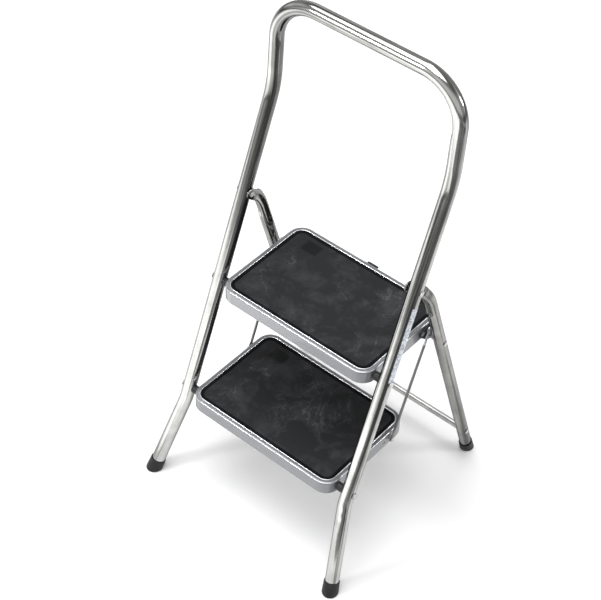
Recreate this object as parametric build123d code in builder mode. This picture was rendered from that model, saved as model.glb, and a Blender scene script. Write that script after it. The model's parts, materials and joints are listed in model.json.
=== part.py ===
"""Two-step folding steel stool with a tall hoop handrail.

Frame: X to the user's right, -Y towards the user, +Z up, millimetres.
The origin is on the floor, under the middle of the footprint.
"""
from build123d import *
from math import asin, atan2, cos, degrees, hypot, radians, sin, tan
import os

os.makedirs("parts", exist_ok=True)

# ---------------------------------------------------------------- driving dimensions
# Front hoop
hoop_diameter = 25.0
hoop_wall = 1.5
hoop_lean = 21.08            # degrees from vertical, top away from the user
front_foot_x = 212.4
foot_y = 214.2               # front feet at -foot_y, rear feet at +foot_y
splay_x = 184.5              # half spacing where the lower legs start to splay
splay_z = 163.4
shoulder_x = 180.8           # half spacing where the hoop turns upright
shoulder_z = 744.6
crown_y = 81.4
crown_z = 914.5
splay_radius = 90.0
shoulder_radius = 190.0
crown_radius = 76.0
tube_start_z = 9.0           # height at which every leg tube ends inside its foot

# Rear frame
leg_diameter = 22.0
leg_wall = 1.5
rear_foot_x = 195.3
pivot_z = 560.0
rear_leg_x_at_pivot = 181.6
fold_offset = 24.2           # distance between hoop and leg axes when folded flat
knee_turn = 29.0             # degrees that the top of the leg bends towards the user
knee_radius = 115.0
tab_thickness = 3.8
tab_radius = 10.0
tab_root = 12.0              # distance from the pivot to where the tab is fully flat
rear_fold = 36.5             # degrees that the rear frame swings when folded
brace_diameter = 12.0
brace_z = 70.0
cross_rod_diameter = 8.0
cross_rod_z = 380.5

# Steps
step_width = 323.0
step_depth = 216.4
step_corner = 28.0
step_height = 26.0
sheet = 1.5
rim_width = 9.0
recess = 3.2
mat_thickness = 2.2
mat_gap = 0.4
mat_line_inset = 5.0
mat_line_width = 1.2
mat_line_depth = 0.4
upper_step_z = 412.7
lower_step_z = 201.1
axle_drop = 15.0             # axle centre below the top of the step
axle_setback = 26.2          # axle centre behind the front edge of the step
edge_radius = 3.5
back_bulge = 3.4
bulge_width = 26.0

# Pins and fits
running_gap = 0.06
side_gap = 0.3
flank_gap = 0.15             # between a riveted head and the round flank of a tube
axle_diameter = 8.0
axle_head_diameter = 12.0
axle_head_height = 1.6
bush_diameter = 15.5
pivot_rivet_diameter = 6.0
pivot_rivet_head = 10.0
rivet_head_height = 1.2
head_fillet = 0.8
brace_rivet_diameter = 5.0
brace_rivet_depth = 16.0

# Tie rods and hook plates, placed from the axle of the step that they belong to
tie_pin_back = 143.0
tie_pin_up = 1.0
tie_pin_diameter = 6.0
tie_pin_head = 9.0
tie_rod_diameter = 5.0
tie_eye_radius = 6.0
tie_flat_width = 8.5
tie_flat_thickness = 2.3
tie_flat_blend = 9.0
tie_upper_flat = 28.0
tie_lower_flat = 18.0
open_eye_gap = 0.3
hook_thickness = 2.3
hook_rivet_back = 126.5
hook_rivet_diameter = 5.0
hook_rivet_head = 8.0
hook_rivet_height = 0.9
hook_arm_radius = 8.0
hook_seat_radius = 9.5
hook_exit_angle = 34.0       # degrees from straight down, towards the user
hook_fit = 0.4
tie_head_height = 1.2

# Latch
latch_width = 22.0
latch_hub_radius = 5.5
latch_pivot_y = 104.0
latch_pivot_drop = 17.0
latch_pin_diameter = 4.0
latch_ear_inner_x = 15.0
latch_ear_thickness = 1.2
latch_window_low = 9.4       # window edges below the top of the step
latch_window_high = 2.2
spring_radius = 3.4
spring_wire = 1.0
spring_pitch = 1.15

# Feet
foot_wall = 1.6
foot_height = 23.0
foot_flare = 2.2             # degrees that the side of a foot widens towards the floor
foot_sole_radius = 2.0
foot_grip = 0.05

# ---------------------------------------------------------------- derived geometry
hoop_radius = hoop_diameter / 2
leg_radius = leg_diameter / 2
step_half_width = step_width / 2
upper_axle_z = upper_step_z - axle_drop
lower_axle_z = lower_step_z - axle_drop


def hoop_y(z):
    """Y of the straight part of the hoop's centreline at a height."""
    return -foot_y + z * tan(radians(hoop_lean))


def hoop_x(z):
    """Half spacing of the hoop's centrelines between the splay and the shoulder."""
    return splay_x + (shoulder_x - splay_x) * (z - splay_z) / (shoulder_z - splay_z)


pivot_y = hoop_y(pivot_z)
leg_reach = hypot(foot_y - pivot_y, pivot_z)
leg_lean = degrees(atan2(foot_y - pivot_y, pivot_z) - asin(fold_offset / leg_reach))


def leg_y(z):
    """Y of the straight part of a rear leg's centreline at a height."""
    return foot_y - z * tan(radians(leg_lean))


def leg_x(z):
    """Half spacing of the rear legs' centrelines at a height."""
    return rear_foot_x + (rear_leg_x_at_pivot - rear_foot_x) * z / pivot_z


upper_axle_y = hoop_y(upper_axle_z)
lower_axle_y = hoop_y(lower_axle_z)
cross_rod_y = leg_y(cross_rod_z)
brace_y = leg_y(brace_z)
latch_pivot_z = upper_step_z - latch_pivot_drop

hook_outer_x = step_half_width + hook_thickness
tie_inner_x = hook_outer_x + hook_rivet_height + side_gap
tie_outer_x = tie_inner_x + tie_flat_thickness
tie_centre_x = (tie_inner_x + tie_outer_x) / 2
tie_head_x = tie_outer_x + side_gap
tab_outer_x = hoop_x(pivot_z) - hoop_radius - 0.5
tab_centre_x = tab_outer_x - tab_thickness / 2
tab_inner_x = tab_outer_x - tab_thickness


def cross_bore(x, y, z, radius, length):
    """Cut a bore along X, centred on a point, in the part being built."""
    with Locations((x, y, z)):
        Cylinder(radius, length, rotation=(0, 90, 0), mode=Mode.SUBTRACT)


def x_disc(x_from, x_to, y, z, radius):
    """Add a disc whose axis is parallel to X to the part being built."""
    with Locations(((x_from + x_to) / 2, y, z)):
        Cylinder(radius, abs(x_to - x_from), rotation=(0, 90, 0))


# ---------------------------------------------------------------- front hoop
kink_y = hoop_y(splay_z)
start_share = tube_start_z / splay_z
half_path = [
    (
        front_foot_x + (splay_x - front_foot_x) * start_share,
        -foot_y + (kink_y + foot_y) * start_share,
        tube_start_z,
    ),
    (splay_x, kink_y, splay_z),
    (shoulder_x, hoop_y(shoulder_z), shoulder_z),
    (shoulder_x, crown_y, crown_z),
]
hoop_points = half_path + [(-x, y, z) for x, y, z in reversed(half_path)]
hoop_radii = [splay_radius, shoulder_radius, crown_radius]

with BuildPart() as hoop:
    with BuildLine() as hoop_line:
        FilletPolyline(*hoop_points, radius=hoop_radii + hoop_radii[::-1])
    with BuildSketch(Plane(origin=hoop_line.line @ 0, z_dir=hoop_line.line % 0)):
        Circle(hoop_radius)
        Circle(hoop_radius - hoop_wall, mode=Mode.SUBTRACT)
    sweep()
    for bore_z, bore_diameter in (
        (upper_axle_z, axle_diameter),
        (lower_axle_z, axle_diameter),
        (pivot_z, pivot_rivet_diameter),
    ):
        cross_bore(0, hoop_y(bore_z), bore_z, bore_diameter / 2 + running_gap, 2 * front_foot_x)
hoop.part.label = "hoop_handrail"
export_step(hoop.part, "parts/hoop_handrail.step")

# ---------------------------------------------------------------- rear legs
knee_end_lean = radians(leg_lean + knee_turn)
knee_start_lean = radians(leg_lean)
stub = Vector(0, -sin(knee_end_lean), cos(knee_end_lean))
pivot_to_knee = (leg_y(pivot_z) - pivot_y) / (
    sin(knee_end_lean) - tan(knee_start_lean) * cos(knee_end_lean)
)
pivot_to_bend = pivot_to_knee - knee_radius * tan(radians(knee_turn / 2))
bend_end = Vector(0, pivot_y, pivot_z) - stub * pivot_to_bend


def knee_centre(lean):
    """Point in the YZ plane where the bent leg has reached a lean in radians."""
    return bend_end + Vector(
        0,
        knee_radius * (cos(lean) - cos(knee_end_lean)),
        knee_radius * (sin(lean) - sin(knee_end_lean)),
    )


# Share of the bend, half thickness, half height, inset of the inner flank from the tab
knee_sections = [
    (0.00, leg_radius, leg_radius, None),
    (0.35, 10.2, 11.3, 6.6),
    (0.68, 7.6, 11.8, 5.2),
    (0.86, 5.4, 11.6, 4.2),
    (1.00, 3.6, 11.0, 2.4),
]


def build_rear_leg(side):
    """A rear leg: a bent tube whose top is pressed flat into a pivot tab."""
    knee_start = knee_centre(knee_start_lean)
    tube_bottom = Vector(side * leg_x(tube_start_z), leg_y(tube_start_z), tube_start_z)
    tube_top = Vector(side * leg_x(knee_start.Z), knee_start.Y, knee_start.Z)
    tube_heading = (tube_top - tube_bottom).normalized()
    with BuildPart() as leg:
        with BuildSketch(Plane(origin=tube_bottom, x_dir=(0, 1, 0), z_dir=tube_heading)):
            Circle(leg_radius)
            Circle(leg_radius - leg_wall, mode=Mode.SUBTRACT)
        extrude(amount=(tube_top - tube_bottom).length)
        for share, half_thickness, half_height, inset in knee_sections:
            lean = knee_start_lean + (knee_end_lean - knee_start_lean) * share
            centre = knee_centre(lean)
            heading = Vector(0, -sin(lean), cos(lean))
            centre_x = side * leg_x(centre.Z)
            if inset is None:
                heading = tube_heading
            else:
                centre_x = side * (tab_inner_x + inset + half_thickness)
            section_origin = Vector(centre_x, centre.Y, centre.Z)
            with BuildSketch(Plane(origin=section_origin, x_dir=(1, 0, 0), z_dir=heading)):
                Ellipse(half_thickness, half_height)
        flat_origin = Vector(side * tab_centre_x, pivot_y, pivot_z) - stub * tab_root
        with BuildSketch(Plane(origin=flat_origin, x_dir=(1, 0, 0), z_dir=stub)):
            Ellipse(tab_thickness / 2, tab_radius)
        loft()
        with BuildSketch(Plane.YZ.offset(side * tab_centre_x)):
            SlotCenterPoint(
                (pivot_y - stub.Y * tab_root / 2, pivot_z - stub.Z * tab_root / 2),
                (pivot_y, pivot_z),
                2 * tab_radius,
            )
        extrude(amount=tab_thickness / 2, both=True)
        for swung in (rear_fold / 3, 2 * rear_fold / 3, rear_fold):
            with Locations((side * hoop_x(pivot_z), pivot_y, pivot_z)):
                Cylinder(
                    hoop_radius + side_gap,
                    8 * leg_diameter,
                    rotation=(swung - hoop_lean, 0, 0),
                    mode=Mode.SUBTRACT,
                )
        bore_length = 2.5 * leg_diameter
        cross_bore(
            side * tab_centre_x, pivot_y, pivot_z, pivot_rivet_diameter / 2 + running_gap, bore_length
        )
        cross_bore(
            side * leg_x(cross_rod_z),
            cross_rod_y,
            cross_rod_z,
            cross_rod_diameter / 2 + running_gap,
            bore_length,
        )
        cross_bore(
            side * leg_x(brace_z), brace_y, brace_z, brace_rivet_diameter / 2 + running_gap, bore_length
        )
    return leg


for side_name, side in (("left", -1), ("right", 1)):
    rear_leg = build_rear_leg(side)
    rear_leg.part.label = f"rear_leg_{side_name}"
    export_step(rear_leg.part, f"parts/rear_leg_{side_name}.step")

with BuildPart() as cross_rod:
    rod_face_x = leg_x(cross_rod_z) + leg_radius + flank_gap
    x_disc(-rod_face_x - 1, rod_face_x + 1, cross_rod_y, cross_rod_z, cross_rod_diameter / 2)
    for side in (-1, 1):
        x_disc(
            side * rod_face_x,
            side * (rod_face_x + rivet_head_height),
            cross_rod_y,
            cross_rod_z,
            pivot_rivet_head / 2,
        )
    fillet(cross_rod.edges().group_by(Axis.X)[0] + cross_rod.edges().group_by(Axis.X)[-1], head_fillet)
cross_rod.part.label = "rear_cross_rod"
export_step(cross_rod.part, "parts/rear_cross_rod.step")

with BuildPart() as brace:
    x_disc(-leg_x(brace_z), leg_x(brace_z), brace_y, brace_z, brace_diameter / 2)
    for side in (-1, 1):
        with Locations((side * leg_x(brace_z), brace_y, brace_z)):
            Cylinder(
                leg_radius + flank_gap / 2,
                3 * leg_diameter,
                rotation=(leg_lean, side * degrees(atan2(leg_x(0) - leg_x(pivot_z), pivot_z)) * -1, 0),
                mode=Mode.SUBTRACT,
            )
        cross_bore(
            side * leg_x(brace_z),
            brace_y,
            brace_z,
            brace_rivet_diameter / 2 + running_gap,
            2 * (leg_radius + brace_rivet_depth),
        )
brace.part.label = "rear_brace"
export_step(brace.part, "parts/rear_brace.step")

with BuildPart() as brace_rivets:
    for side in (-1, 1):
        flank_x = side * (leg_x(brace_z) + leg_radius + flank_gap)
        inner_x = side * (leg_x(brace_z) - leg_radius - brace_rivet_depth + 1)
        x_disc(inner_x, flank_x + side, brace_y, brace_z, brace_rivet_diameter / 2)
        x_disc(flank_x, flank_x + side * rivet_head_height, brace_y, brace_z, pivot_rivet_head / 2)
brace_rivets.part.label = "brace_rivets"
export_step(brace_rivets.part, "parts/brace_rivets.step")

# ---------------------------------------------------------------- feet


def build_foot(foot_point, heading, tube_radius):
    """A rubber ferrule round the end of a leg, cut flat on the floor."""
    tube_end = foot_point + heading * (tube_start_z / heading.Z)
    rim_radius = tube_radius + foot_wall
    rim = foot_point + heading * foot_height
    below = 2 * foot_sole_radius + tube_radius
    with BuildPart() as foot:
        with BuildSketch(Plane(origin=rim, z_dir=-heading)):
            Circle(rim_radius)
        extrude(amount=foot_height + below, taper=-foot_flare)
        split(bisect_by=Plane.XY, keep=Keep.TOP)
        fillet(foot.edges().group_by(Axis.Z)[0], foot_sole_radius)
        with BuildSketch(Plane(origin=tube_end - heading * foot_grip, z_dir=heading)):
            Circle(tube_radius + foot_grip)
        extrude(amount=2 * foot_height, mode=Mode.SUBTRACT)
    return foot


for side_name, side in (("left", -1), ("right", 1)):
    front_heading = (
        Vector(side * splay_x, kink_y, splay_z) - Vector(side * front_foot_x, -foot_y, 0)
    ).normalized()
    front_foot = build_foot(Vector(side * front_foot_x, -foot_y, 0), front_heading, hoop_radius)
    front_foot.part.label = f"front_foot_{side_name}"
    export_step(front_foot.part, f"parts/front_foot_{side_name}.step")

    rear_heading = (
        Vector(side * leg_x(pivot_z), leg_y(pivot_z), pivot_z) - Vector(side * leg_x(0), foot_y, 0)
    ).normalized()
    rear_foot = build_foot(Vector(side * leg_x(0), foot_y, 0), rear_heading, leg_radius)
    rear_foot.part.label = f"rear_foot_{side_name}"
    export_step(rear_foot.part, f"parts/rear_foot_{side_name}.step")

# ---------------------------------------------------------------- axles and bushes
axles = (("upper", upper_axle_y, upper_axle_z), ("lower", lower_axle_y, lower_axle_z))

for level, axle_y, axle_z in axles:
    head_x = hoop_x(axle_z) + hoop_radius + flank_gap
    with BuildPart() as axle:
        x_disc(-head_x - 1, head_x + 1, axle_y, axle_z, axle_diameter / 2)
        for side in (-1, 1):
            x_disc(
                side * head_x,
                side * (head_x + axle_head_height),
                axle_y,
                axle_z,
                axle_head_diameter / 2,
            )
        fillet(axle.edges().group_by(Axis.X)[0] + axle.edges().group_by(Axis.X)[-1], head_fillet)
    axle.part.label = f"{level}_axle"
    export_step(axle.part, f"parts/{level}_axle.step")

    for side_name, side in (("left", -1), ("right", 1)):
        with BuildPart() as bush:
            x_disc(
                side * (step_half_width + side_gap),
                side * hoop_x(axle_z),
                axle_y,
                axle_z,
                bush_diameter / 2,
            )
            with Locations((side * hoop_x(axle_z), axle_y, axle_z)):
                Cylinder(
                    hoop_radius + flank_gap / 2,
                    3 * hoop_diameter,
                    rotation=(-hoop_lean, 0, 0),
                    mode=Mode.SUBTRACT,
                )
            cross_bore(
                side * hoop_x(axle_z), axle_y, axle_z, axle_diameter / 2 + running_gap, 3 * hoop_diameter
            )
        bush.part.label = f"{level}_bush_{side_name}"
        export_step(bush.part, f"parts/{level}_bush_{side_name}.step")

with BuildPart() as pivot_rivets:
    for side in (-1, 1):
        inner_x = tab_inner_x - side_gap
        outer_x = hoop_x(pivot_z) + hoop_radius + flank_gap
        shank = pivot_rivet_diameter / 2
        head = pivot_rivet_head / 2
        x_disc(side * (inner_x - 1), side * (outer_x + 1), pivot_y, pivot_z, shank)
        x_disc(side * (inner_x - rivet_head_height), side * inner_x, pivot_y, pivot_z, head)
        x_disc(side * outer_x, side * (outer_x + rivet_head_height), pivot_y, pivot_z, head)
pivot_rivets.part.label = "leg_pivot_rivets"
export_step(pivot_rivets.part, "parts/leg_pivot_rivets.step")

# ---------------------------------------------------------------- steps
step_middle_back = step_depth / 2 - axle_setback
skirt_inner_x = step_half_width - sheet


def step_plane(axle_y, axle_z, height):
    """Plane level with the floor, centred on a step, at a height above its axle."""
    return Plane(origin=(0, axle_y + step_middle_back, axle_z + height))


def step_outline(inset):
    """Draw the outline of a step moved inwards by an inset, in the open sketch."""
    RectangleRounded(step_width - 2 * inset, step_depth - 2 * inset, step_corner - inset)


def step_outline_hole(inset):
    """Cut the outline of a step moved inwards by an inset out of the open sketch."""
    RectangleRounded(
        step_width - 2 * inset,
        step_depth - 2 * inset,
        step_corner - inset,
        mode=Mode.SUBTRACT,
    )


def bulge_outline(inset):
    """Draw the bulge in the middle of the back skirt, in the open sketch."""
    with Locations((0, step_depth / 2 - inset)):
        RectangleRounded(bulge_width - 2 * inset, 2 * back_bulge, back_bulge - 0.5)


def build_tray(axle_y, axle_z, latched):
    """A pressed step: rolled rim, recessed floor and a skirt all round."""
    floor_height = axle_drop - recess - sheet
    skirt_bottom = axle_drop - step_height
    with BuildPart() as tray:
        with BuildSketch(step_plane(axle_y, axle_z, skirt_bottom)):
            step_outline(0)
        extrude(amount=step_height)
        fillet(tray.faces().sort_by(Axis.Z)[-1].edges(), edge_radius)
        if latched:
            with BuildSketch(step_plane(axle_y, axle_z, skirt_bottom)):
                bulge_outline(0)
            extrude(amount=step_height - edge_radius)
        with BuildSketch(step_plane(axle_y, axle_z, skirt_bottom)):
            step_outline(sheet)
            if latched:
                bulge_outline(sheet)
        extrude(amount=floor_height - skirt_bottom, mode=Mode.SUBTRACT)
        with BuildSketch(step_plane(axle_y, axle_z, floor_height)):
            step_outline(sheet)
            step_outline_hole(rim_width - sheet)
        extrude(amount=recess, mode=Mode.SUBTRACT)
        with BuildSketch(step_plane(axle_y, axle_z, axle_drop - recess)):
            step_outline(rim_width)
        extrude(amount=2 * recess, mode=Mode.SUBTRACT)
        for back, bore_diameter in (
            (0, axle_diameter),
            (tie_pin_back, tie_pin_diameter),
            (hook_rivet_back, hook_rivet_diameter),
        ):
            bore_z = axle_z + (tie_pin_up if back else 0)
            cross_bore(0, axle_y + back, bore_z, bore_diameter / 2 + running_gap, 2 * step_width)
        if latched:
            window_z = axle_z + axle_drop - (latch_window_low + latch_window_high) / 2
            with Locations((0, axle_y - axle_setback + step_depth, window_z)):
                Box(
                    latch_width + 2 * side_gap,
                    4 * back_bulge,
                    latch_window_low - latch_window_high,
                    mode=Mode.SUBTRACT,
                )
    return tray


def build_mat(axle_y, axle_z):
    """A rubber mat lying in the recess of a step, with a line near its edge."""
    line_inset = rim_width + mat_gap + mat_line_inset
    line_height = axle_drop - recess + mat_thickness - mat_line_depth
    with BuildPart() as mat:
        with BuildSketch(step_plane(axle_y, axle_z, axle_drop - recess)):
            step_outline(rim_width + mat_gap)
        extrude(amount=mat_thickness)
        with BuildSketch(step_plane(axle_y, axle_z, line_height)):
            step_outline(line_inset)
            step_outline_hole(line_inset + mat_line_width)
        extrude(amount=mat_line_depth, mode=Mode.SUBTRACT)
    return mat


for level, axle_y, axle_z in axles:
    tray = build_tray(axle_y, axle_z, level == "upper")
    tray.part.label = f"{level}_tray"
    export_step(tray.part, f"parts/{level}_tray.step")

    mat = build_mat(axle_y, axle_z)
    mat.part.label = f"{level}_mat"
    export_step(mat.part, f"parts/{level}_mat.step")

# ---------------------------------------------------------------- hook plates and rivets
upper_pin_y = upper_axle_y + tie_pin_back
upper_pin_z = upper_axle_z + tie_pin_up
lower_pin_y = lower_axle_y + tie_pin_back
lower_pin_z = lower_axle_z + tie_pin_up
hook_rivet_y = upper_axle_y + hook_rivet_back
exit_angle = radians(hook_exit_angle)
mouth_y = cross_rod_y - 2 * hook_seat_radius * sin(exit_angle)
mouth_z = cross_rod_z - 2 * hook_seat_radius * cos(exit_angle)
tie_pin_bore = tie_pin_diameter / 2 + running_gap

for side_name, side in (("left", -1), ("right", 1)):
    with BuildPart() as hook_plate:
        with BuildSketch(Plane.YZ.offset(side * (step_half_width + hook_thickness / 2))):
            with Locations((hook_rivet_y, upper_pin_z)):
                Circle(hook_arm_radius)
            with Locations((upper_pin_y, upper_pin_z)):
                Circle(hook_arm_radius)
            with Locations((cross_rod_y, cross_rod_z)):
                Circle(hook_seat_radius)
            make_hull()
            with Locations((cross_rod_y, cross_rod_z)):
                Circle(cross_rod_diameter / 2 + hook_fit, mode=Mode.SUBTRACT)
            SlotCenterPoint(
                ((cross_rod_y + mouth_y) / 2, (cross_rod_z + mouth_z) / 2),
                (mouth_y, mouth_z),
                cross_rod_diameter + 2 * hook_fit,
                mode=Mode.SUBTRACT,
            )
        extrude(amount=hook_thickness / 2, both=True)
        cross_bore(0, upper_pin_y, upper_pin_z, tie_pin_bore, 2 * step_width)
        cross_bore(0, hook_rivet_y, upper_pin_z, hook_rivet_diameter / 2 + running_gap, 2 * step_width)
    hook_plate.part.label = f"hook_plate_{side_name}"
    export_step(hook_plate.part, f"parts/hook_plate_{side_name}.step")

with BuildPart() as hook_rivets:
    for side in (-1, 1):
        head = hook_rivet_head / 2
        inner_x = side * skirt_inner_x
        outer_x = side * hook_outer_x
        x_disc(inner_x, outer_x, hook_rivet_y, upper_pin_z, hook_rivet_diameter / 2)
        x_disc(inner_x, inner_x - side * hook_rivet_height, hook_rivet_y, upper_pin_z, head)
        x_disc(outer_x, outer_x + side * hook_rivet_height, hook_rivet_y, upper_pin_z, head)
hook_rivets.part.label = "hook_rivets"
export_step(hook_rivets.part, "parts/hook_rivets.step")


def build_tie_pins(pin_y, pin_z, seat_x):
    """A pair of shouldered pins that carry the tie rods on a step's side skirts."""
    head = tie_pin_head / 2
    with BuildPart() as pins:
        for side in (-1, 1):
            inner_x = side * skirt_inner_x
            x_disc(inner_x, side * (tie_head_x + 0.5), pin_y, pin_z, tie_pin_diameter / 2)
            x_disc(inner_x, inner_x - side * sheet, pin_y, pin_z, head)
            x_disc(side * seat_x, side * (tie_inner_x - side_gap), pin_y, pin_z, head)
            x_disc(side * tie_head_x, side * (tie_head_x + tie_head_height), pin_y, pin_z, head)
    return pins


upper_pins = build_tie_pins(upper_pin_y, upper_pin_z, hook_outer_x)
upper_pins.part.label = "upper_tie_pins"
export_step(upper_pins.part, "parts/upper_tie_pins.step")

lower_pins = build_tie_pins(lower_pin_y, lower_pin_z, step_half_width)
lower_pins.part.label = "lower_tie_pins"
export_step(lower_pins.part, "parts/lower_tie_pins.step")

# ---------------------------------------------------------------- tie rods
tie_heading = Vector(0, upper_pin_y - lower_pin_y, upper_pin_z - lower_pin_z).normalized()
tie_length = hypot(upper_pin_y - lower_pin_y, upper_pin_z - lower_pin_z)


def tie_plane(side, distance):
    """Plane across a tie rod at a distance above its lower eye."""
    origin = Vector(side * tie_centre_x, lower_pin_y, lower_pin_z) + tie_heading * distance
    return Plane(origin=origin, x_dir=(1, 0, 0), z_dir=tie_heading)


def build_tie_rod(side):
    """A round rod whose two ends are pressed flat round an eye."""
    flats = (
        (0, tie_lower_flat - tie_flat_blend, tie_lower_flat),
        (tie_length, tie_length - tie_upper_flat + tie_flat_blend, tie_length - tie_upper_flat),
    )
    eye_x = side * tie_centre_x - tie_flat_thickness / 2
    with BuildPart() as tie_rod:
        with BuildSketch(tie_plane(side, tie_lower_flat)):
            Circle(tie_rod_diameter / 2)
        extrude(amount=tie_length - tie_lower_flat - tie_upper_flat)
        for eye_end, flat_end, round_end in flats:
            with BuildSketch(tie_plane(side, flat_end)):
                Ellipse(tie_flat_thickness / 2, tie_flat_width / 2)
            with BuildSketch(tie_plane(side, round_end)):
                Circle(tie_rod_diameter / 2)
            loft()
            with BuildSketch(tie_plane(side, eye_end)):
                RectangleRounded(tie_flat_thickness, tie_flat_width, tie_flat_thickness / 2 - 0.1)
            extrude(amount=flat_end - eye_end)
        for eye_y, eye_z in ((upper_pin_y, upper_pin_z), (lower_pin_y, lower_pin_z)):
            x_disc(eye_x, eye_x + tie_flat_thickness, eye_y, eye_z, tie_eye_radius)
        cross_bore(0, upper_pin_y, upper_pin_z, tie_pin_bore, 2 * step_width)
        cross_bore(0, lower_pin_y, lower_pin_z, tie_pin_diameter / 2 + open_eye_gap, 2 * step_width)
    return tie_rod


for side_name, side in (("left", -1), ("right", 1)):
    tie_rod = build_tie_rod(side)
    tie_rod.part.label = f"tie_rod_{side_name}"
    export_step(tie_rod.part, f"parts/tie_rod_{side_name}.step")

# ---------------------------------------------------------------- latch
# Outlines are offsets (y, z) from the latch's pivot
latch_outline = [
    (-3.5, -4.0),
    (-10.0, -9.5),
    (-14.0, -14.0),
    (-17.6, -18.4),
    (-17.0, -22.4),
    (-9.0, -23.2),
    (-3.0, -20.0),
    (1.5, -13.0),
    (4.0, -3.0),
    (18.0, 4.9),
    (24.4, 7.7),
    (34.0, 8.3),
    (34.0, 10.7),
    (23.6, 10.1),
    (17.0, 7.2),
    (0.0, 5.0),
]
bracket_outline = [(-7.0, 11.1), (9.0, 11.1), (5.0, -5.0), (-5.0, -5.0)]


def from_latch(offsets):
    """Turn offsets from the latch's pivot into points of the YZ plane."""
    return [(latch_pivot_y + y, latch_pivot_z + z) for y, z in offsets]


latch_bore = latch_pin_diameter / 2 + running_gap

with BuildPart() as latch:
    with BuildSketch(Plane.YZ):
        with BuildLine():
            Polyline(*from_latch(latch_outline), close=True)
        make_face()
        with Locations((latch_pivot_y, latch_pivot_z)):
            Circle(latch_hub_radius)
        with Locations((cross_rod_y, cross_rod_z)):
            Circle(cross_rod_diameter / 2 + hook_fit, mode=Mode.SUBTRACT)
    extrude(amount=latch_width / 2, both=True)
    cross_bore(0, latch_pivot_y, latch_pivot_z, latch_bore, 2 * latch_width)
latch.part.label = "latch_lever"
export_step(latch.part, "parts/latch_lever.step")

ear_outer_x = latch_ear_inner_x + latch_ear_thickness
plate_top = upper_step_z - recess - sheet
plate_middle_y = latch_pivot_y + (bracket_outline[0][0] + bracket_outline[1][0]) / 2
plate_depth = bracket_outline[1][0] - bracket_outline[0][0]

with BuildPart() as latch_bracket:
    for side in (-1, 1):
        with BuildSketch(Plane.YZ.offset(side * (latch_ear_inner_x + latch_ear_thickness / 2))):
            with BuildLine():
                Polyline(*from_latch(bracket_outline), close=True)
            make_face()
        extrude(amount=latch_ear_thickness / 2, both=True)
    with BuildSketch(Plane.XY.offset(plate_top - latch_ear_thickness)):
        with Locations((0, plate_middle_y)):
            Rectangle(2 * ear_outer_x, plate_depth)
    extrude(amount=latch_ear_thickness)
    cross_bore(0, latch_pivot_y, latch_pivot_z, latch_bore, 4 * latch_width)
latch_bracket.part.label = "latch_bracket"
export_step(latch_bracket.part, "parts/latch_bracket.step")

with BuildPart() as latch_pin:
    pin_end_x = ear_outer_x + latch_ear_thickness
    x_disc(-pin_end_x, pin_end_x, latch_pivot_y, latch_pivot_z, latch_pin_diameter / 2)
    x_disc(-pin_end_x, -ear_outer_x, latch_pivot_y, latch_pivot_z, latch_pin_diameter * 0.8)
latch_pin.part.label = "latch_pin"
export_step(latch_pin.part, "parts/latch_pin.step")

spring_start_x = latch_width / 2 + side_gap + spring_wire / 2
spring_length = latch_ear_inner_x - spring_start_x - spring_wire / 2 - 0.1
with BuildPart() as latch_spring:
    with BuildLine() as coil:
        Helix(
            pitch=spring_pitch,
            height=spring_length,
            radius=spring_radius,
            center=(spring_start_x, latch_pivot_y, latch_pivot_z),
            direction=(1, 0, 0),
        )
    with BuildSketch(Plane(origin=coil.line @ 0, z_dir=coil.line % 0)):
        Circle(spring_wire / 2)
    sweep(is_frenet=True)
latch_spring.part.label = "latch_spring"
export_step(latch_spring.part, "parts/latch_spring.step")
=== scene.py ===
"""Looks of the two-step folding stool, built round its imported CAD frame.

Every length is in metres and every place is in the frame that the CAD parts share.
"""

import json
import logging
import math
from dataclasses import dataclass, field
from enum import Enum
from typing import Sequence

import bmesh
import bpy
from mathutils import Matrix, Vector, noise


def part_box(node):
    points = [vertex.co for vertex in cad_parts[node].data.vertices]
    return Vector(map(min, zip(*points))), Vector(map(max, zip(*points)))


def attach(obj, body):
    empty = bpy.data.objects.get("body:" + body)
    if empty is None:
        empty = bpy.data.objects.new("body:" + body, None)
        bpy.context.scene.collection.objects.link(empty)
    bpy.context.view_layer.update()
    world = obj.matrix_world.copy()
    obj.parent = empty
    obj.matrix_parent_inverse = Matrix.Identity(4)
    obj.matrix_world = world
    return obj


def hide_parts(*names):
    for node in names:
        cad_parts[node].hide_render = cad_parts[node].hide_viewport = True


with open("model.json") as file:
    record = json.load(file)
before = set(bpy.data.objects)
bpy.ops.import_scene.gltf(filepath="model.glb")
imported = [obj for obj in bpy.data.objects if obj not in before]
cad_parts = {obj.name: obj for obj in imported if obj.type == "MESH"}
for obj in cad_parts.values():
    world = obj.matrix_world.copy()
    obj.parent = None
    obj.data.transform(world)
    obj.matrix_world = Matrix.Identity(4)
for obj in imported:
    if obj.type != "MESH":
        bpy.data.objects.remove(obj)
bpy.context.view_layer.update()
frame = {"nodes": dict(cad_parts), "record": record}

LOG = logging.getLogger("stool")
MM = 0.001

PATH_ATTRIBUTE = "tube_path"
PATCH_AND_SHADE_ATTRIBUTE = "mat_patch_and_border_shade"
FACING_ATTRIBUTE = "facing"
WIDTH_ATTRIBUTE = "width"
CORNER_POINTS = 12
SIDE_POINTS = (110, 70, 110, 70)

Colour = tuple[float, float, float]
Place = tuple[float, float, float]
Socket = bpy.types.NodeSocket


# ------------------------------------------------------------------ material building
def set_stops(node: bpy.types.Node, stops: Sequence[tuple[float, float]]) -> None:
    """Set the stops of a colour ramp node.

    Args:
        node: The node.
        stops: Positions and grey values.
    """
    elements = node.color_ramp.elements
    while len(elements) < len(stops):
        elements.new(0.5)
    for element, (position, grey) in zip(elements, stops):
        element.position = position
        element.color = (grey, grey, grey, 1.0)


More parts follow.
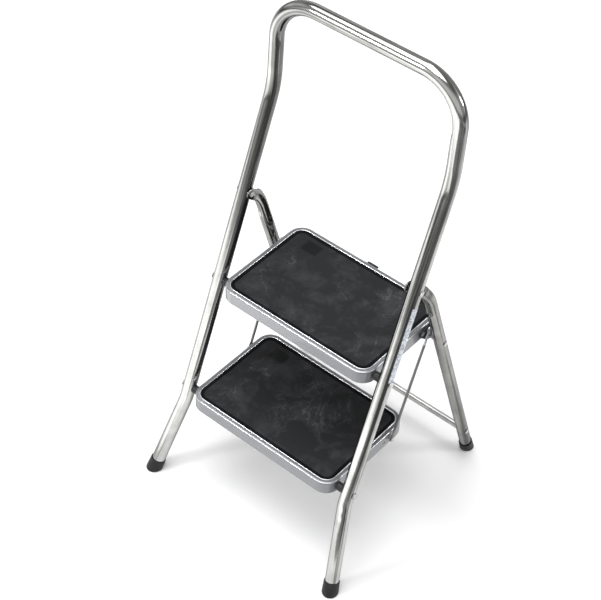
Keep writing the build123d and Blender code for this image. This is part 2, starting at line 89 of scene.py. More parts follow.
class Sheet:
    """A node material under construction, with short calls for the nodes it uses."""

    def __init__(self, name: str) -> None:
        """Start an empty material with an output and a Principled shader.

        Args:
            name: Name of the material.
        """
        self.material = bpy.data.materials.new(name)
        self.material.use_nodes = True
        self.tree = self.material.node_tree
        self.tree.nodes.clear()
        output = self.tree.nodes.new("ShaderNodeOutputMaterial")
        self.shader = self.tree.nodes.new("ShaderNodeBsdfPrincipled")
        self.tree.links.new(self.shader.outputs["BSDF"], output.inputs["Surface"])
        self.place = self.tree.nodes.new("ShaderNodeTexCoord").outputs["Object"]

    def set(self, **values: float | Colour) -> None:
        """Set values that are the same all over on the shader's own sockets.

        Args:
            values: Socket names with underscores for spaces, and their values.
        """
        for key, value in values.items():
            socket = self.shader.inputs[key.replace("_", " ")]
            socket.default_value = (*value, 1.0) if isinstance(value, tuple) else value

    def link(self, source: Socket, target: str) -> None:
        """Feed a socket of the shader.

        Args:
            source: Output that gives the value.
            target: Name of the shader's input.
        """
        self.tree.links.new(source, self.shader.inputs[target])

    def stretched(self, scale: Sequence[float]) -> Socket:
        """The material's coordinates, scaled apart on each axis.

        Args:
            scale: Scale on each axis.

        Returns:
            The vector output.
        """
        mapping = self.tree.nodes.new("ShaderNodeMapping")
        mapping.inputs["Scale"].default_value = scale
        self.tree.links.new(self.place, mapping.inputs["Vector"])
        return mapping.outputs["Vector"]

    def height(self) -> Socket:
        """Height of the point above the origin.

        Returns:
            The z output, in metres.
        """
        node = self.tree.nodes.new("ShaderNodeSeparateXYZ")
        self.tree.links.new(self.place, node.inputs[0])
        return node.outputs["Z"]

    def facing(self) -> Socket:
        """How far the surface turns away from the viewer, from 0 face on to 1 edge on."""
        return self.tree.nodes.new("ShaderNodeLayerWeight").outputs["Facing"]

    def attribute(self, name: str) -> Socket:
        """A vector stored on the piece's own points.

        Args:
            name: Name of the attribute.

        Returns:
            The vector output.
        """
        node = self.tree.nodes.new("ShaderNodeAttribute")
        node.attribute_name = name
        return node.outputs["Vector"]

    def distance(self) -> Socket:
        """Distance from the origin.

        Returns:
            The length output, in metres.
        """
        node = self.tree.nodes.new("ShaderNodeVectorMath")
        node.operation = "LENGTH"
        self.tree.links.new(self.place, node.inputs[0])
        return node.outputs["Value"]

    def noise(
        self,
        scale: float,
        detail: float = 4.0,
        roughness: float = 0.55,
        distortion: float = 0.0,
        vector: Socket | None = None,
    ) -> Socket:
        """Fractal noise.

        Args:
            scale: Size of the pattern, in repeats per metre.
            detail: Octaves.
            roughness: Weight of the finer octaves.
            distortion: How far the pattern swirls.
            vector: Coordinates, or None for the material's own.

        Returns:
            The factor output.
        """
        node = self.tree.nodes.new("ShaderNodeTexNoise")
        node.inputs["Scale"].default_value = scale
        node.inputs["Detail"].default_value = detail
        node.inputs["Roughness"].default_value = roughness
        node.inputs["Distortion"].default_value = distortion
        self.tree.links.new(vector or self.place, node.inputs["Vector"])
        return node.outputs["Fac"]

    def cells(self, scale: float) -> Socket:
        """Distance pattern of scattered cells.

        Args:
            scale: Cells per metre.

        Returns:
            The distance output.
        """
        node = self.tree.nodes.new("ShaderNodeTexVoronoi")
        node.inputs["Scale"].default_value = scale
        self.tree.links.new(self.place, node.inputs["Vector"])
        return node.outputs["Distance"]

    def ramp(self, source: Socket, stops: Sequence[tuple[float, float]]) -> Socket:
        """Map a factor through a ramp of greys.

        Args:
            source: The factor.
            stops: Positions and grey values.

        Returns:
            The colour output.
        """
        node = self.tree.nodes.new("ShaderNodeValToRGB")
        set_stops(node, stops)
        self.tree.links.new(source, node.inputs["Fac"])
        return node.outputs["Color"]

    def mix(
        self,
        amount: float | Socket,
        first: Colour | Socket,
        second: Colour | Socket,
        mode: str = "MIX",
    ) -> Socket:
        """Blend two colours.

        Args:
            amount: Share of the second colour.
            first: First colour.
            second: Second colour.
            mode: Blend type.

        Returns:
            The blended colour.
        """
        node = self.tree.nodes.new("ShaderNodeMix")
        node.data_type = "RGBA"
        node.blend_type = mode
        for socket, value in ((node.inputs[0], amount), (node.inputs[6], first), (node.inputs[7], second)):
            if isinstance(value, bpy.types.NodeSocket):
                self.tree.links.new(value, socket)
            else:
                socket.default_value = (*value, 1.0) if isinstance(value, tuple) else value
        return node.outputs[2]

    def math(self, operation: str, first: float | Socket, second: float | Socket = 0.0) -> Socket:
        """One maths step.

        Args:
            operation: Operation name.
            first: First value.
            second: Second value.

        Returns:
            The result.
        """
        node = self.tree.nodes.new("ShaderNodeMath")
        node.operation = operation
        for socket, value in zip(node.inputs, (first, second)):
            if isinstance(value, bpy.types.NodeSocket):
                self.tree.links.new(value, socket)
            else:
                socket.default_value = value
        return node.outputs[0]

    def bump(self, *layers: tuple[Socket, float]) -> None:
        """Stack height patterns into the shader's normal.

        Args:
            layers: Pairs of height source and depth in metres.
        """
        normal: Socket | None = None
        for source, depth in layers:
            node = self.tree.nodes.new("ShaderNodeBump")
            node.inputs["Strength"].default_value = 1.0
            node.inputs["Distance"].default_value = depth
            self.tree.links.new(source, node.inputs["Height"])
            if normal is not None:
                self.tree.links.new(normal, node.inputs["Normal"])
            normal = node.outputs["Normal"]
        self.link(normal, "Normal")


# ------------------------------------------------------------------ finishes
class Slot(Enum):
    """The record's material slots."""

    TUBE = "tube_metal"
    STEP = "step_paint"
    MAT = "mat_rubber"
    FOOT = "foot_rubber"
    PLASTIC = "bush_plastic"
    ROD = "rod_steel"
    HOOK = "hook_steel"
    RIVET = "rivet_steel"
    TIE = "tie_steel"


@dataclass(frozen=True)
class PlatedSteel:
    """Plated steel with drawing lines, painted dark reflection stripes, dull patches and pin marks.

    The finish is fully metallic; its edge tone darkens its colour and gloss towards the outline as the
    camera sees it, a painted shade that follows the viewing angle.
    """

    name: str
    bright: Colour = (0.56, 0.56, 0.545)
    dull: Colour = (0.40, 0.40, 0.39)
    smooth: float = 0.09
    rough: float = 0.20
    line_scale: tuple[float, float, float] = (1.0, 1.0, 0.006)
    line_depth: float = 0.000006
    reflection_streaks: float = 0.0
    edge_painted_shade: float = 0.30

    def paint_reflection_streaks(self, sheet: Sheet, colour: Socket) -> Socket:
        """Darken a colour in long stripes that run down the tube, a painted dark reflection.

        Args:
            sheet: The material being built.
            colour: The colour so far.

        Returns:
            The streaked colour.
        """
        wide = sheet.noise(115.0, 2.0, 0.5, vector=sheet.stretched((1.0, 1.0, 0.014)))
        fine = sheet.noise(420.0, 3.0, 0.6, vector=sheet.stretched((1.0, 1.0, 0.010)))
        both = sheet.math("ADD", sheet.math("MULTIPLY", wide, 0.68), sheet.math("MULTIPLY", fine, 0.32))
        shade = sheet.ramp(both, [(0.41, 0.16), (0.48, 0.46), (0.54, 0.92), (0.60, 1.0)])
        return sheet.mix(self.reflection_streaks, colour, sheet.mix(1.0, colour, shade, "MULTIPLY"))

    def material(self) -> bpy.types.Material:
        """Build the material.

        Returns:
            The new material.
        """
        sheet = Sheet(self.name)
        if self.reflection_streaks > 0:
            sheet.place = sheet.attribute(PATH_ATTRIBUTE)
        lines = sheet.noise(900.0, 3.0, 0.6, vector=sheet.stretched(self.line_scale))
        patches = sheet.noise(16.0, 5.0, 0.6, 0.6)
        specks = sheet.cells(160.0)
        colour = sheet.mix(sheet.ramp(patches, [(0.40, 0.0), (0.68, 1.0)]), self.bright, self.dull)
        # Painted reflection: dark stripes along the tube stand in for the dark lines the metal reflects
        if self.reflection_streaks > 0:
            colour = self.paint_reflection_streaks(sheet, colour)
        marks = sheet.ramp(specks, [(0.03, 0.35), (0.07, 1.0)])
        colour = sheet.mix(1.0, colour, marks, "MULTIPLY")
        # Painted shade: colour and specular tint darken towards the outline by the viewing angle
        painted_edge_stops = [(0.66, 1.0), (0.90, self.edge_painted_shade), (1.0, self.edge_painted_shade * 0.6)]
        rim = sheet.ramp(sheet.facing(), painted_edge_stops)
        sheet.link(sheet.mix(1.0, colour, rim, "MULTIPLY"), "Base Color")
        sheet.link(rim, "Specular Tint")
        worn = sheet.math("ADD", sheet.math("MULTIPLY", patches, 0.7), sheet.math("MULTIPLY", lines, 0.3))
        sheet.link(sheet.ramp(worn, [(0.35, self.smooth), (0.70, self.rough)]), "Roughness")
        sheet.set(Metallic=1.0)
        sheet.bump((lines, self.line_depth), (patches, 0.00004))
        return sheet.material


@dataclass(frozen=True)
class StepPaint:
    """Silver-grey metallic paint on pressed sheet steel."""

    name: str = "silver_step_paint"
    base: Colour = (0.19, 0.195, 0.208)
    flake: Colour = (0.29, 0.295, 0.308)

    def material(self) -> bpy.types.Material:
        """Build the material.

        Returns:
            The new material.
        """
        sheet = Sheet(self.name)
        flakes = sheet.cells(2600.0)
        peel = sheet.noise(420.0, 2.0, 0.5)
        haze = sheet.noise(9.0, 4.0, 0.6, 0.4)
        grain = sheet.mix(sheet.ramp(flakes, [(0.15, 1.0), (0.45, 0.0)]), self.base, self.flake)
        shade = sheet.ramp(haze, [(0.30, 0.90), (0.70, 1.0)])
        chips = sheet.ramp(sheet.cells(55.0), [(0.016, 0.45), (0.03, 1.0)])
        colour = sheet.mix(1.0, grain, shade, "MULTIPLY")
        sheet.link(sheet.mix(1.0, colour, chips, "MULTIPLY"), "Base Color")
        sheet.link(sheet.ramp(haze, [(0.30, 0.30), (0.72, 0.44)]), "Roughness")
        sheet.set(Metallic=0.55, Coat_Weight=0.8, Coat_Roughness=0.07)
        sheet.bump((peel, 0.000035), (flakes, 0.000012))
        return sheet.material


@dataclass(frozen=True)
class MatRubber:
    """Black rubber sheet with cloudy scuffs, faint creases and dust."""

    name: str = "black_mat_rubber"
    base: Colour = (0.0130, 0.0135, 0.0145)
    scuff: Colour = (0.044, 0.045, 0.049)
    crease: Colour = (0.12, 0.12, 0.125)
    dust: Colour = (0.24, 0.24, 0.25)

    def material(self) -> bpy.types.Material:
        """Build the material.

        Returns:
            The new material.
        """
        sheet = Sheet(self.name)
        clouds = sheet.noise(17.0, 8.0, 0.68, 0.25)
        veins = sheet.noise(9.0, 6.0, 0.62, 0.5)
        crease = sheet.math("ABSOLUTE", sheet.math("SUBTRACT", veins, 0.5))
        crease_mask = sheet.ramp(crease, [(0.0, 1.0), (0.008, 0.0)])
        cloud_mask = sheet.ramp(clouds, [(0.46, 0.0), (0.70, 0.75)])
        colour = sheet.mix(cloud_mask, self.base, self.scuff)
        faint = sheet.math("MULTIPLY", sheet.math("MULTIPLY", crease_mask, cloud_mask), 0.8)
        colour = sheet.mix(faint, colour, self.crease)
        specks = sheet.ramp(sheet.cells(75.0), [(0.010, 0.7), (0.016, 0.0)])
        colour = sheet.mix(specks, colour, self.dust)
        # The stored tone darkens the border as painted shade along the gap beside the rim, and darkens the
        # smooth patch as its own tone
        zone = sheet.attribute(PATCH_AND_SHADE_ATTRIBUTE)
        sheet.link(sheet.mix(1.0, colour, zone, "MULTIPLY"), "Base Color")
        sheet.link(sheet.ramp(clouds, [(0.35, 0.50), (0.70, 0.66)]), "Roughness")
        sheet.link(sheet.math("MULTIPLY", zone, 0.13), "Specular IOR Level")
        sheet.bump((sheet.noise(1900.0, 3.0, 0.6), 0.00005), (sheet.noise(38.0, 4.0, 0.5), 0.00035))
        return sheet.material


@dataclass(frozen=True)
class Moulding:
    """Matt moulded rubber or plastic with a fine spark-eroded grain."""

    name: str
    base: Colour = (0.010, 0.010, 0.011)
    worn: Colour = (0.034, 0.034, 0.036)
    smooth: float = 0.38
    rough: float = 0.60

    def material(self) -> bpy.types.Material:
        """Build the material.

        Returns:
            The new material.
        """
        sheet = Sheet(self.name)
        wear = sheet.noise(60.0, 5.0, 0.6, 0.3)
        grain = sheet.noise(2400.0, 2.0, 0.5)
        worn_share = sheet.ramp(wear, [(0.45, 0.0), (0.80, 0.7)])
        sheet.link(sheet.mix(worn_share, self.base, self.worn), "Base Color")
        sheet.link(sheet.ramp(wear, [(0.30, self.smooth), (0.75, self.rough)]), "Roughness")
        sheet.set(Specular_IOR_Level=0.25)
        sheet.bump((grain, 0.00003), (wear, 0.00012))
        return sheet.material


@dataclass(frozen=True)
class DarkPlate:
    """Dark phosphated steel plate, a little oily."""

    name: str = "dark_hook_steel"
    base: Colour = (0.045, 0.045, 0.048)
    rubbed: Colour = (0.20, 0.20, 0.205)

    def material(self) -> bpy.types.Material:
        """Build the material.

        Returns:
            The new material.
        """
        sheet = Sheet(self.name)
        wear = sheet.noise(110.0, 5.0, 0.65, 0.5)
        grain = sheet.noise(1500.0, 3.0, 0.6)
        rubbed_share = sheet.ramp(wear, [(0.52, 0.0), (0.75, 1.0)])
        sheet.link(sheet.mix(rubbed_share, self.base, self.rubbed), "Base Color")
        sheet.link(sheet.ramp(wear, [(0.30, 0.48), (0.70, 0.28)]), "Roughness")
        sheet.set(Metallic=0.8)
        sheet.bump((grain, 0.00003), (wear, 0.00006))
        return sheet.material


@dataclass(frozen=True)
class TieSteel:
    """Dull steel rod whose flattened upper end is bright zinc."""

    name: str = "tie_rod_steel"
    dull: Colour = (0.24, 0.24, 0.235)
    zinc: Colour = (0.62, 0.65, 0.70)
    bright_from: float = 0.372

    def material(self) -> bpy.types.Material:
        """Build the material.

        Returns:
            The new material.
        """
        sheet = Sheet(self.name)
        wear = sheet.noise(140.0, 4.0, 0.6)
        grain = sheet.noise(1600.0, 3.0, 0.6)
        height = sheet.math("ADD", sheet.height(), sheet.math("MULTIPLY", wear, 0.003))
        zone = sheet.math("GREATER_THAN", height, self.bright_from)
        colour = sheet.mix(zone, self.dull, self.zinc)
        shade = sheet.ramp(wear, [(0.3, 0.75), (0.7, 1.0)])
        sheet.link(sheet.mix(1.0, colour, shade, "MULTIPLY"), "Base Color")
        sheet.link(sheet.ramp(wear, [(0.3, 0.32), (0.7, 0.5)]), "Roughness")
        sheet.set(Metallic=0.85)
        sheet.bump((grain, 0.00003), (wear, 0.00005))
        return sheet.material


@dataclass(frozen=True)
class LabelFilm:
    """Pale plastic film, slightly mottled and scuffed."""

    name: str = "label_film_pale"
    base: Colour = (0.66, 0.70, 0.76)
    scuffed: Colour = (0.20, 0.21, 0.23)

    def material(self) -> bpy.types.Material:
        """Build the material.

        Returns:
            The new material.
        """
        sheet = Sheet(self.name)
        mottle = sheet.noise(260.0, 3.0, 0.7, 0.8)
        scuffed_share = sheet.ramp(mottle, [(0.48, 0.0), (0.60, 0.85)])
        sheet.link(sheet.mix(scuffed_share, self.base, self.scuffed), "Base Color")
        sheet.link(sheet.ramp(mottle, [(0.3, 0.32), (0.7, 0.5)]), "Roughness")
        sheet.bump((mottle, 0.00005))
        return sheet.material


@dataclass
class Finishes:
    """One built material for each slot of the record, and two that only new pieces use."""

    made: dict[Slot, bpy.types.Material] = field(default_factory=dict)
    leg: bpy.types.Material | None = None
    bead: bpy.types.Material | None = None

    def build(self) -> None:
        """Build every finish once."""
        recipes = {
            Slot.TUBE: PlatedSteel("bright_tube_steel", reflection_streaks=0.85),
            Slot.STEP: StepPaint(),
            Slot.MAT: MatRubber(),
            Slot.FOOT: Moulding("foot_rubber_black"),
            Slot.PLASTIC: Moulding("bush_plastic_black", smooth=0.30, rough=0.45),
            Slot.ROD: PlatedSteel(
                "zinc_rod_steel",
                bright=(0.55, 0.55, 0.54),
                dull=(0.36, 0.36, 0.36),
                smooth=0.24,
                rough=0.42,
                line_scale=(1.0, 1.0, 1.0),
            ),
            Slot.HOOK: DarkPlate(),
            Slot.TIE: TieSteel(),
            Slot.RIVET: PlatedSteel(
                "rivet_steel_bright",
                bright=(0.66, 0.66, 0.65),
                dull=(0.48, 0.48, 0.47),
                smooth=0.20,
                rough=0.36,
                line_scale=(1.0, 1.0, 1.0),
            ),
        }
        for slot, recipe in recipes.items():
            self.made[slot] = recipe.material()
        self.leg = PlatedSteel(
            "dull_leg_steel",
            bright=(0.36, 0.355, 0.34),
            dull=(0.25, 0.247, 0.238),
            smooth=0.13,
            rough=0.26,
            reflection_streaks=0.85,
        ).material()
        # Painted highlight: the rim beads' bright colour paints light lines along the step rims, on top of
        # the gloss the lights give
        self.bead = PlatedSteel(
            "rim_edge_painted_highlight",
            bright=(0.78, 0.79, 0.81),
            dull=(0.62, 0.63, 0.65),
            smooth=0.24,
            rough=0.34,
            line_depth=0.000001,
        ).material()

    def dress(self, piece: bpy.types.Object, slot: Slot) -> None:
        """Give a piece one finish all over.

        Args:
            piece: The object.
            slot: The record's slot.
        """
        piece.data.materials.clear()
        piece.data.materials.append(self.made[slot])


# ------------------------------------------------------------------ studio
@dataclass(frozen=True)
class Softbox:
    """A rectangular area light aimed at a point."""

    name: str
    place: Place
    aim: Place
    size: tuple[float, float]
    power: float

    def build(self) -> None:
        """Create the light, which the camera doesn't see."""
        data = bpy.data.lights.new(self.name, "AREA")
        data.shape = "RECTANGLE"
        data.size, data.size_y = self.size
        data.energy = self.power
        lamp = bpy.data.objects.new(self.name, data)
        bpy.context.scene.collection.objects.link(lamp)
        lamp.location = self.place
        lamp.visible_camera = False
        lamp.rotation_euler = (Vector(self.aim) - Vector(self.place)).to_track_quat("-Z", "Y").to_euler()


@dataclass(frozen=True)
class ReflectedCard:
    """A card lying on the floor in front of the stool, seen only in the bright metal: a dark card paints a
    dark reflection and a glowing card paints a bright one.
    """

    name: str
    away: tuple[float, float]
    aside: tuple[float, float]
    tone: float
    glow: float
    heading: Place = (0.63, -0.78, 0.0)
    side_heading: Place = (0.78, 0.63, 0.0)
    lift: float = 12.0 * MM
    light_colour: Colour = (1.0, 1.0, 0.985)

    def build(self) -> None:
        """Create the card, which the camera doesn't see."""
        (near, far), (left, right) = self.away, self.aside
        corners = []
        for out, across in ((near, left), (far, left), (far, right), (near, right)):
            place = Vector(self.heading) * out + Vector(self.side_heading) * across
            corners.append((place.x, place.y, self.lift))
        mesh = bpy.data.meshes.new(self.name)
        mesh.from_pydata(corners, [], [(0, 1, 2, 3)])
        card = new_piece(self.name, mesh)
        sheet = Sheet(f"{self.name}_painted_reflection")
        card_mottle = sheet.noise(3.0, 4.0)
        sheet.link(sheet.ramp(card_mottle, [(0.3, self.tone * 0.8), (0.7, self.tone)]), "Base Color")
        sheet.set(Roughness=0.9, Specular_IOR_Level=0.0)
        sheet.set(Emission_Color=self.light_colour, Emission_Strength=self.glow)
        mesh.materials.append(sheet.material)
        card.visible_camera = False
        card.visible_diffuse = False
        card.visible_shadow = False
        card.visible_transmission = False


@dataclass
class Studio:
    """Floor, soft light and the camera; the floor is painted darker far from the stool, a painted fall-off
    of light.
    """

    camera_place: Place = (1.1915, -1.5435, 2.3509)
    camera_turn: float = 38.82
    camera_tilt: float = -44.76
    camera_roll: float = 2.12
    lens_mm: float = 96.8
    sensor_mm: float = 36.0
    camera_reach: float = 100.0
    floor_half: float = 14.0
    floor_fade: float = 5.0
    # Share of the floor's fade and tone: a painted fall-off of light, darker far out, that the bright metal
    # reflects
    floor_painted_falloff: tuple[tuple[float, float], ...] = ((0.0, 0.90), (0.62, 0.88), (0.85, 0.50), (1.0, 0.42))
    # Height in the sky, from straight down at 0 to straight up at 1, and tone
    sky_tones: tuple[tuple[float, float], ...] = (
        (0.0, 0.30),
        (0.47, 0.35),
        (0.52, 0.75),
        (0.62, 0.85),
        (0.74, 0.80),
        (0.86, 0.30),
        (1.0, 0.30),
    )

    def build(self) -> None:
        """Create the floor, the lights, the surroundings and the camera."""
        self.build_floor()
        for card in (
            # Painted reflections: a dark card and a glowing card that only the metal sees
            ReflectedCard("shade_card", away=(0.66, 3.4), aside=(-0.38, 1.9), tone=0.26, glow=0.0),
            ReflectedCard("bounce_card", away=(-0.6, 3.6), aside=(-4.2, -0.40), tone=0.85, glow=1.05),
        ):
            card.build()
        self.build_surroundings()
        for lamp in (
            Softbox("top_softbox", place=(-0.3, -0.2, 3.1), aim=(0, 0.1, 0.0), size=(2.6, 2.0), power=92.0),
            Softbox("front_softbox", place=(-1.5, -2.4, 2.1), aim=(0, 0, 0.35), size=(0.55, 0.55), power=34),
            Softbox("right_softbox", place=(2.3, 1.7, 1.6), aim=(0, 0, 0.35), size=(0.5, 0.6), power=22.0),
        ):
            lamp.build()
        self.build_camera()

    def build_floor(self) -> None:
        """Create a large floor, pale near the stool and darker far out."""
        mesh = bpy.data.meshes.new("studio_floor")
        half = self.floor_half
        corners = [(-half, -half, 0), (half, -half, 0), (half, half, 0), (-half, half, 0)]
        mesh.from_pydata(corners, [], [(0, 1, 2, 3)])
        floor = new_piece("studio_floor", mesh)
        sheet = Sheet("floor_white")
        # Painted shade: the floor darkens with distance from the stool
        share = sheet.math("MULTIPLY", sheet.distance(), 1.0 / self.floor_fade)
        sheet.link(sheet.ramp(share, self.floor_painted_falloff), "Base Color")
        sheet.set(Roughness=0.9, Specular_IOR_Level=0.1)
        mesh.materials.append(sheet.material)

    def build_surroundings(self) -> None:
        """Light the scene from a sky that is pale low down and dark overhead and below."""
        world = bpy.data.worlds.new("studio_sky")
        world.use_nodes = True
        tree = world.node_tree
        tree.nodes.clear()
        place = tree.nodes.new("ShaderNodeTexCoord")
        split = tree.nodes.new("ShaderNodeSeparateXYZ")
        ramp = tree.nodes.new("ShaderNodeValToRGB")
        sky = tree.nodes.new("ShaderNodeBackground")
        out = tree.nodes.new("ShaderNodeOutputWorld")
        height = tree.nodes.new("ShaderNodeMapRange")
        height.inputs["From Min"].default_value = -1.0
        tree.links.new(place.outputs["Generated"], split.inputs["Vector"])
        tree.links.new(split.outputs["Z"], height.inputs["Value"])
        tree.links.new(height.outputs["Result"], ramp.inputs["Fac"])
        tree.links.new(ramp.outputs["Color"], sky.inputs["Color"])
        tree.links.new(sky.outputs["Background"], out.inputs["Surface"])
        set_stops(ramp, self.sky_tones)
        sky.inputs["Strength"].default_value = 1.0
        bpy.context.scene.world = world

    def build_camera(self) -> None:
        """Create the camera and make it the scene's."""
        turn, tilt, roll = (math.radians(a) for a in (self.camera_turn, self.camera_tilt, self.camera_roll))
        ahead = Vector((-math.sin(turn) * math.cos(tilt), math.cos(turn) * math.cos(tilt), math.sin(tilt)))
        level = Vector((math.cos(turn), math.sin(turn), 0.0))
        upright = level.cross(ahead)
        right = level * math.cos(roll) + upright * math.sin(roll)
        up = upright * math.cos(roll) - level * math.sin(roll)
        data = bpy.data.cameras.new("view_camera")
        data.lens = self.lens_mm
        data.sensor_width = self.sensor_mm
        data.clip_end = self.camera_reach
        camera = bpy.data.objects.new("view_camera", data)
        bpy.context.scene.collection.objects.link(camera)
        turned = Matrix((right, up, -ahead)).transposed().to_4x4()
        camera.matrix_world = Matrix.Translation(self.camera_place) @ turned
        bpy.context.scene.camera = camera


# ------------------------------------------------------------------ geometry node building
class GeoTree:
    """A Geometry Nodes tree under construction, with named inputs."""

    def __init__(self, name: str) -> None:
        """Start a tree that takes and gives a geometry.

        Args:
            name: Name of the tree.
        """
        self.tree = bpy.data.node_groups.new(name, "GeometryNodeTree")
        self.tree.interface.new_socket("Geometry", in_out="INPUT", socket_type="NodeSocketGeometry")
        self.tree.interface.new_socket("Geometry", in_out="OUTPUT", socket_type="NodeSocketGeometry")
        self.inputs = self.tree.nodes.new("NodeGroupInput")
        self.outputs = self.tree.nodes.new("NodeGroupOutput")
        self.values: dict[str, object] = {}

    @property
    def source(self) -> Socket:
        """The incoming geometry."""
        return self.inputs.outputs["Geometry"]

    def add_input(self, name: str, kind: str, value: object) -> Socket:
        """Add a named input and the value that the modifier gives it.

        Args:
            name: Name of the input.
            kind: Socket type, such as Float, Int or Material.
            value: Value for the modifier.

        Returns:
            The input's socket inside the tree.
        """
        item = self.tree.interface.new_socket(name, in_out="INPUT", socket_type=f"NodeSocket{kind}")
        self.values[item.identifier] = value
        return self.inputs.outputs[name]

    def node(
        self,
        kind: str,
        settings: dict[str, object] | None = None,
        **sockets: object,
    ) -> bpy.types.Node:
        """Add a node.

        Args:
            kind: Node type.
            settings: Properties of the node.
            sockets: Input values or links by name, with underscores for spaces, or by number as i0, i1.

        Returns:
            The node.
        """
        node = self.tree.nodes.new(kind)
        for key, value in (settings or {}).items():
            setattr(node, key, value)
        for key, value in sockets.items():
            numbered = key[0] == "i" and key[1:].isdigit()
            socket = node.inputs[int(key[1:]) if numbered else key.replace("_", " ")]
            if isinstance(value, bpy.types.NodeSocket):
                self.tree.links.new(value, socket)
            else:
                socket.default_value = value
        return node

    def finish(self, geometry: Socket, material: Socket) -> None:
        """End the tree in Realize Instances and Set Material.

        Args:
            geometry: The geometry so far.
            material: The material input.
        """
        smooth = self.node("GeometryNodeSetShadeSmooth", Geometry=geometry)
        real = self.node("GeometryNodeRealizeInstances", Geometry=smooth.outputs[0])
        dressed = self.node("GeometryNodeSetMaterial", Geometry=real.outputs[0], Material=material)
        self.tree.links.new(dressed.outputs[0], self.outputs.inputs["Geometry"])

    def bake(self, carrier: bpy.types.Object, name: str) -> bpy.types.Object:
        """Run the tree on a carrier object and keep the result as a plain mesh.

        Args:
            carrier: Object whose geometry goes in; it is removed.
            name: Name of the new piece.

        Returns:
            The new piece.
        """
        modifier = carrier.modifiers.new("grow", "NODES")
        modifier.node_group = self.tree
        for identifier, value in self.values.items():
            modifier[identifier] = value
        graph = bpy.context.evaluated_depsgraph_get()
        mesh = bpy.data.meshes.new_from_object(carrier.evaluated_get(graph))
        mesh.name = name
        piece = new_piece(name, mesh)
        carrier.modifiers.remove(modifier)
        bpy.data.objects.remove(carrier)
        return piece


def tube_tree(radius: float, ring: int, step: float, material: bpy.types.Material) -> GeoTree:
    """Tree that sweeps a round section along a path and marks each point's place on it.

    Args:
        radius: Radius of the section.
        ring: Points round the section.
        step: Distance between sections.
        material: Finish of the piece.

    Returns:
        The tree.
    """
    geo = GeoTree("tube_along_path")
    radius_in = geo.add_input("Tube Radius", "Float", radius)
    ring_in = geo.add_input("Ring Points", "Int", ring)
    step_in = geo.add_input("Step", "Float", step)
    finish = geo.add_input("Finish", "Material", material)
    curve = geo.node("GeometryNodeMeshToCurve", Mesh=geo.source)
    even = geo.node("GeometryNodeResampleCurve", {"mode": "LENGTH"}, Curve=curve.outputs[0], Length=step_in)
    length = geo.node("GeometryNodeSplineParameter").outputs["Length"]
    travelled = geo.node("GeometryNodeCaptureAttribute", Geometry=even.outputs[0])
    travelled.capture_items.new("FLOAT", "Travelled")
    geo.tree.links.new(length, travelled.inputs["Travelled"])
    circle = geo.node("GeometryNodeCurvePrimitiveCircle", Resolution=ring_in, Radius=radius_in)
    place = geo.node("GeometryNodeInputPosition").outputs[0]
    around = geo.node("GeometryNodeCaptureAttribute", Geometry=circle.outputs[0])
    around.capture_items.new("VECTOR", "Around")
    geo.tree.links.new(place, around.inputs["Around"])
    tube = geo.node(
        "GeometryNodeCurveToMesh",
        Curve=travelled.outputs[0],
        Profile_Curve=around.outputs[0],
        Fill_Caps=True,
    )
    split = geo.node("ShaderNodeSeparateXYZ", Vector=around.outputs["Around"])
    joined = geo.node(
        "ShaderNodeCombineXYZ",
        X=split.outputs["X"],
        Y=split.outputs["Y"],
        Z=travelled.outputs["Travelled"],
    )
    marked = geo.node(
        "GeometryNodeStoreNamedAttribute",
        {"data_type": "FLOAT_VECTOR", "domain": "POINT"},
        Geometry=tube.outputs[0],
        Name=PATH_ATTRIBUTE,
        Value=joined.outputs[0],
    )
    geo.finish(marked.outputs[0], finish)
    return geo


def new_piece(name: str, mesh: bpy.types.Mesh) -> bpy.types.Object:
    """Put a mesh into the scene as an object at the origin.

    Args:
        name: Name of the piece.
        mesh: Its mesh, already in place.

    Returns:
        The new object.
    """
    piece = bpy.data.objects.new(name, mesh)
    bpy.context.scene.collection.objects.link(piece)
    return piece


def line_piece(name: str, points: Sequence[Sequence[float]], closed: bool) -> bpy.types.Object:
    """A chain of edges that a tree sweeps along.

    Args:
        name: Name of the object.
        points: Points of the chain.
        closed: Whether the last point joins the first.

    Returns:
        The object.
    """
    count = len(points)
    edges = [(index, (index + 1) % count) for index in range(count if closed else count - 1)]
    mesh = bpy.data.meshes.new(name)
    mesh.from_pydata([tuple(point) for point in points], edges, [])
    return new_piece(name, mesh)


def join_rings(maker: bmesh.types.BMesh, rings: Sequence[Sequence[bmesh.types.BMVert]]) -> None:
    """Close a row of rings into a skin with a flat face at each end.

    Args:
        maker: The mesh under construction.
        rings: Rings of equal length from one end to the other.
    """
    count = len(rings[0])
    for first, second in zip(rings, rings[1:]):
        for index in range(count):
            after = (index + 1) % count
            maker.faces.new((first[index], first[after], second[after], second[index]))
    maker.faces.new(rings[0][::-1])
    maker.faces.new(rings[-1])


def close_mesh(maker: bmesh.types.BMesh, name: str) -> bpy.types.Object:
    """Turn the faces outwards and make the finished mesh a piece.

    Args:
        maker: The mesh under construction; it is freed.
        name: Name of the piece.

    Returns:
        The new piece.
    """
    bmesh.ops.recalc_face_normals(maker, faces=maker.faces)
    mesh = bpy.data.meshes.new(name)
    maker.to_mesh(mesh)
    maker.free()
    return new_piece(name, mesh)


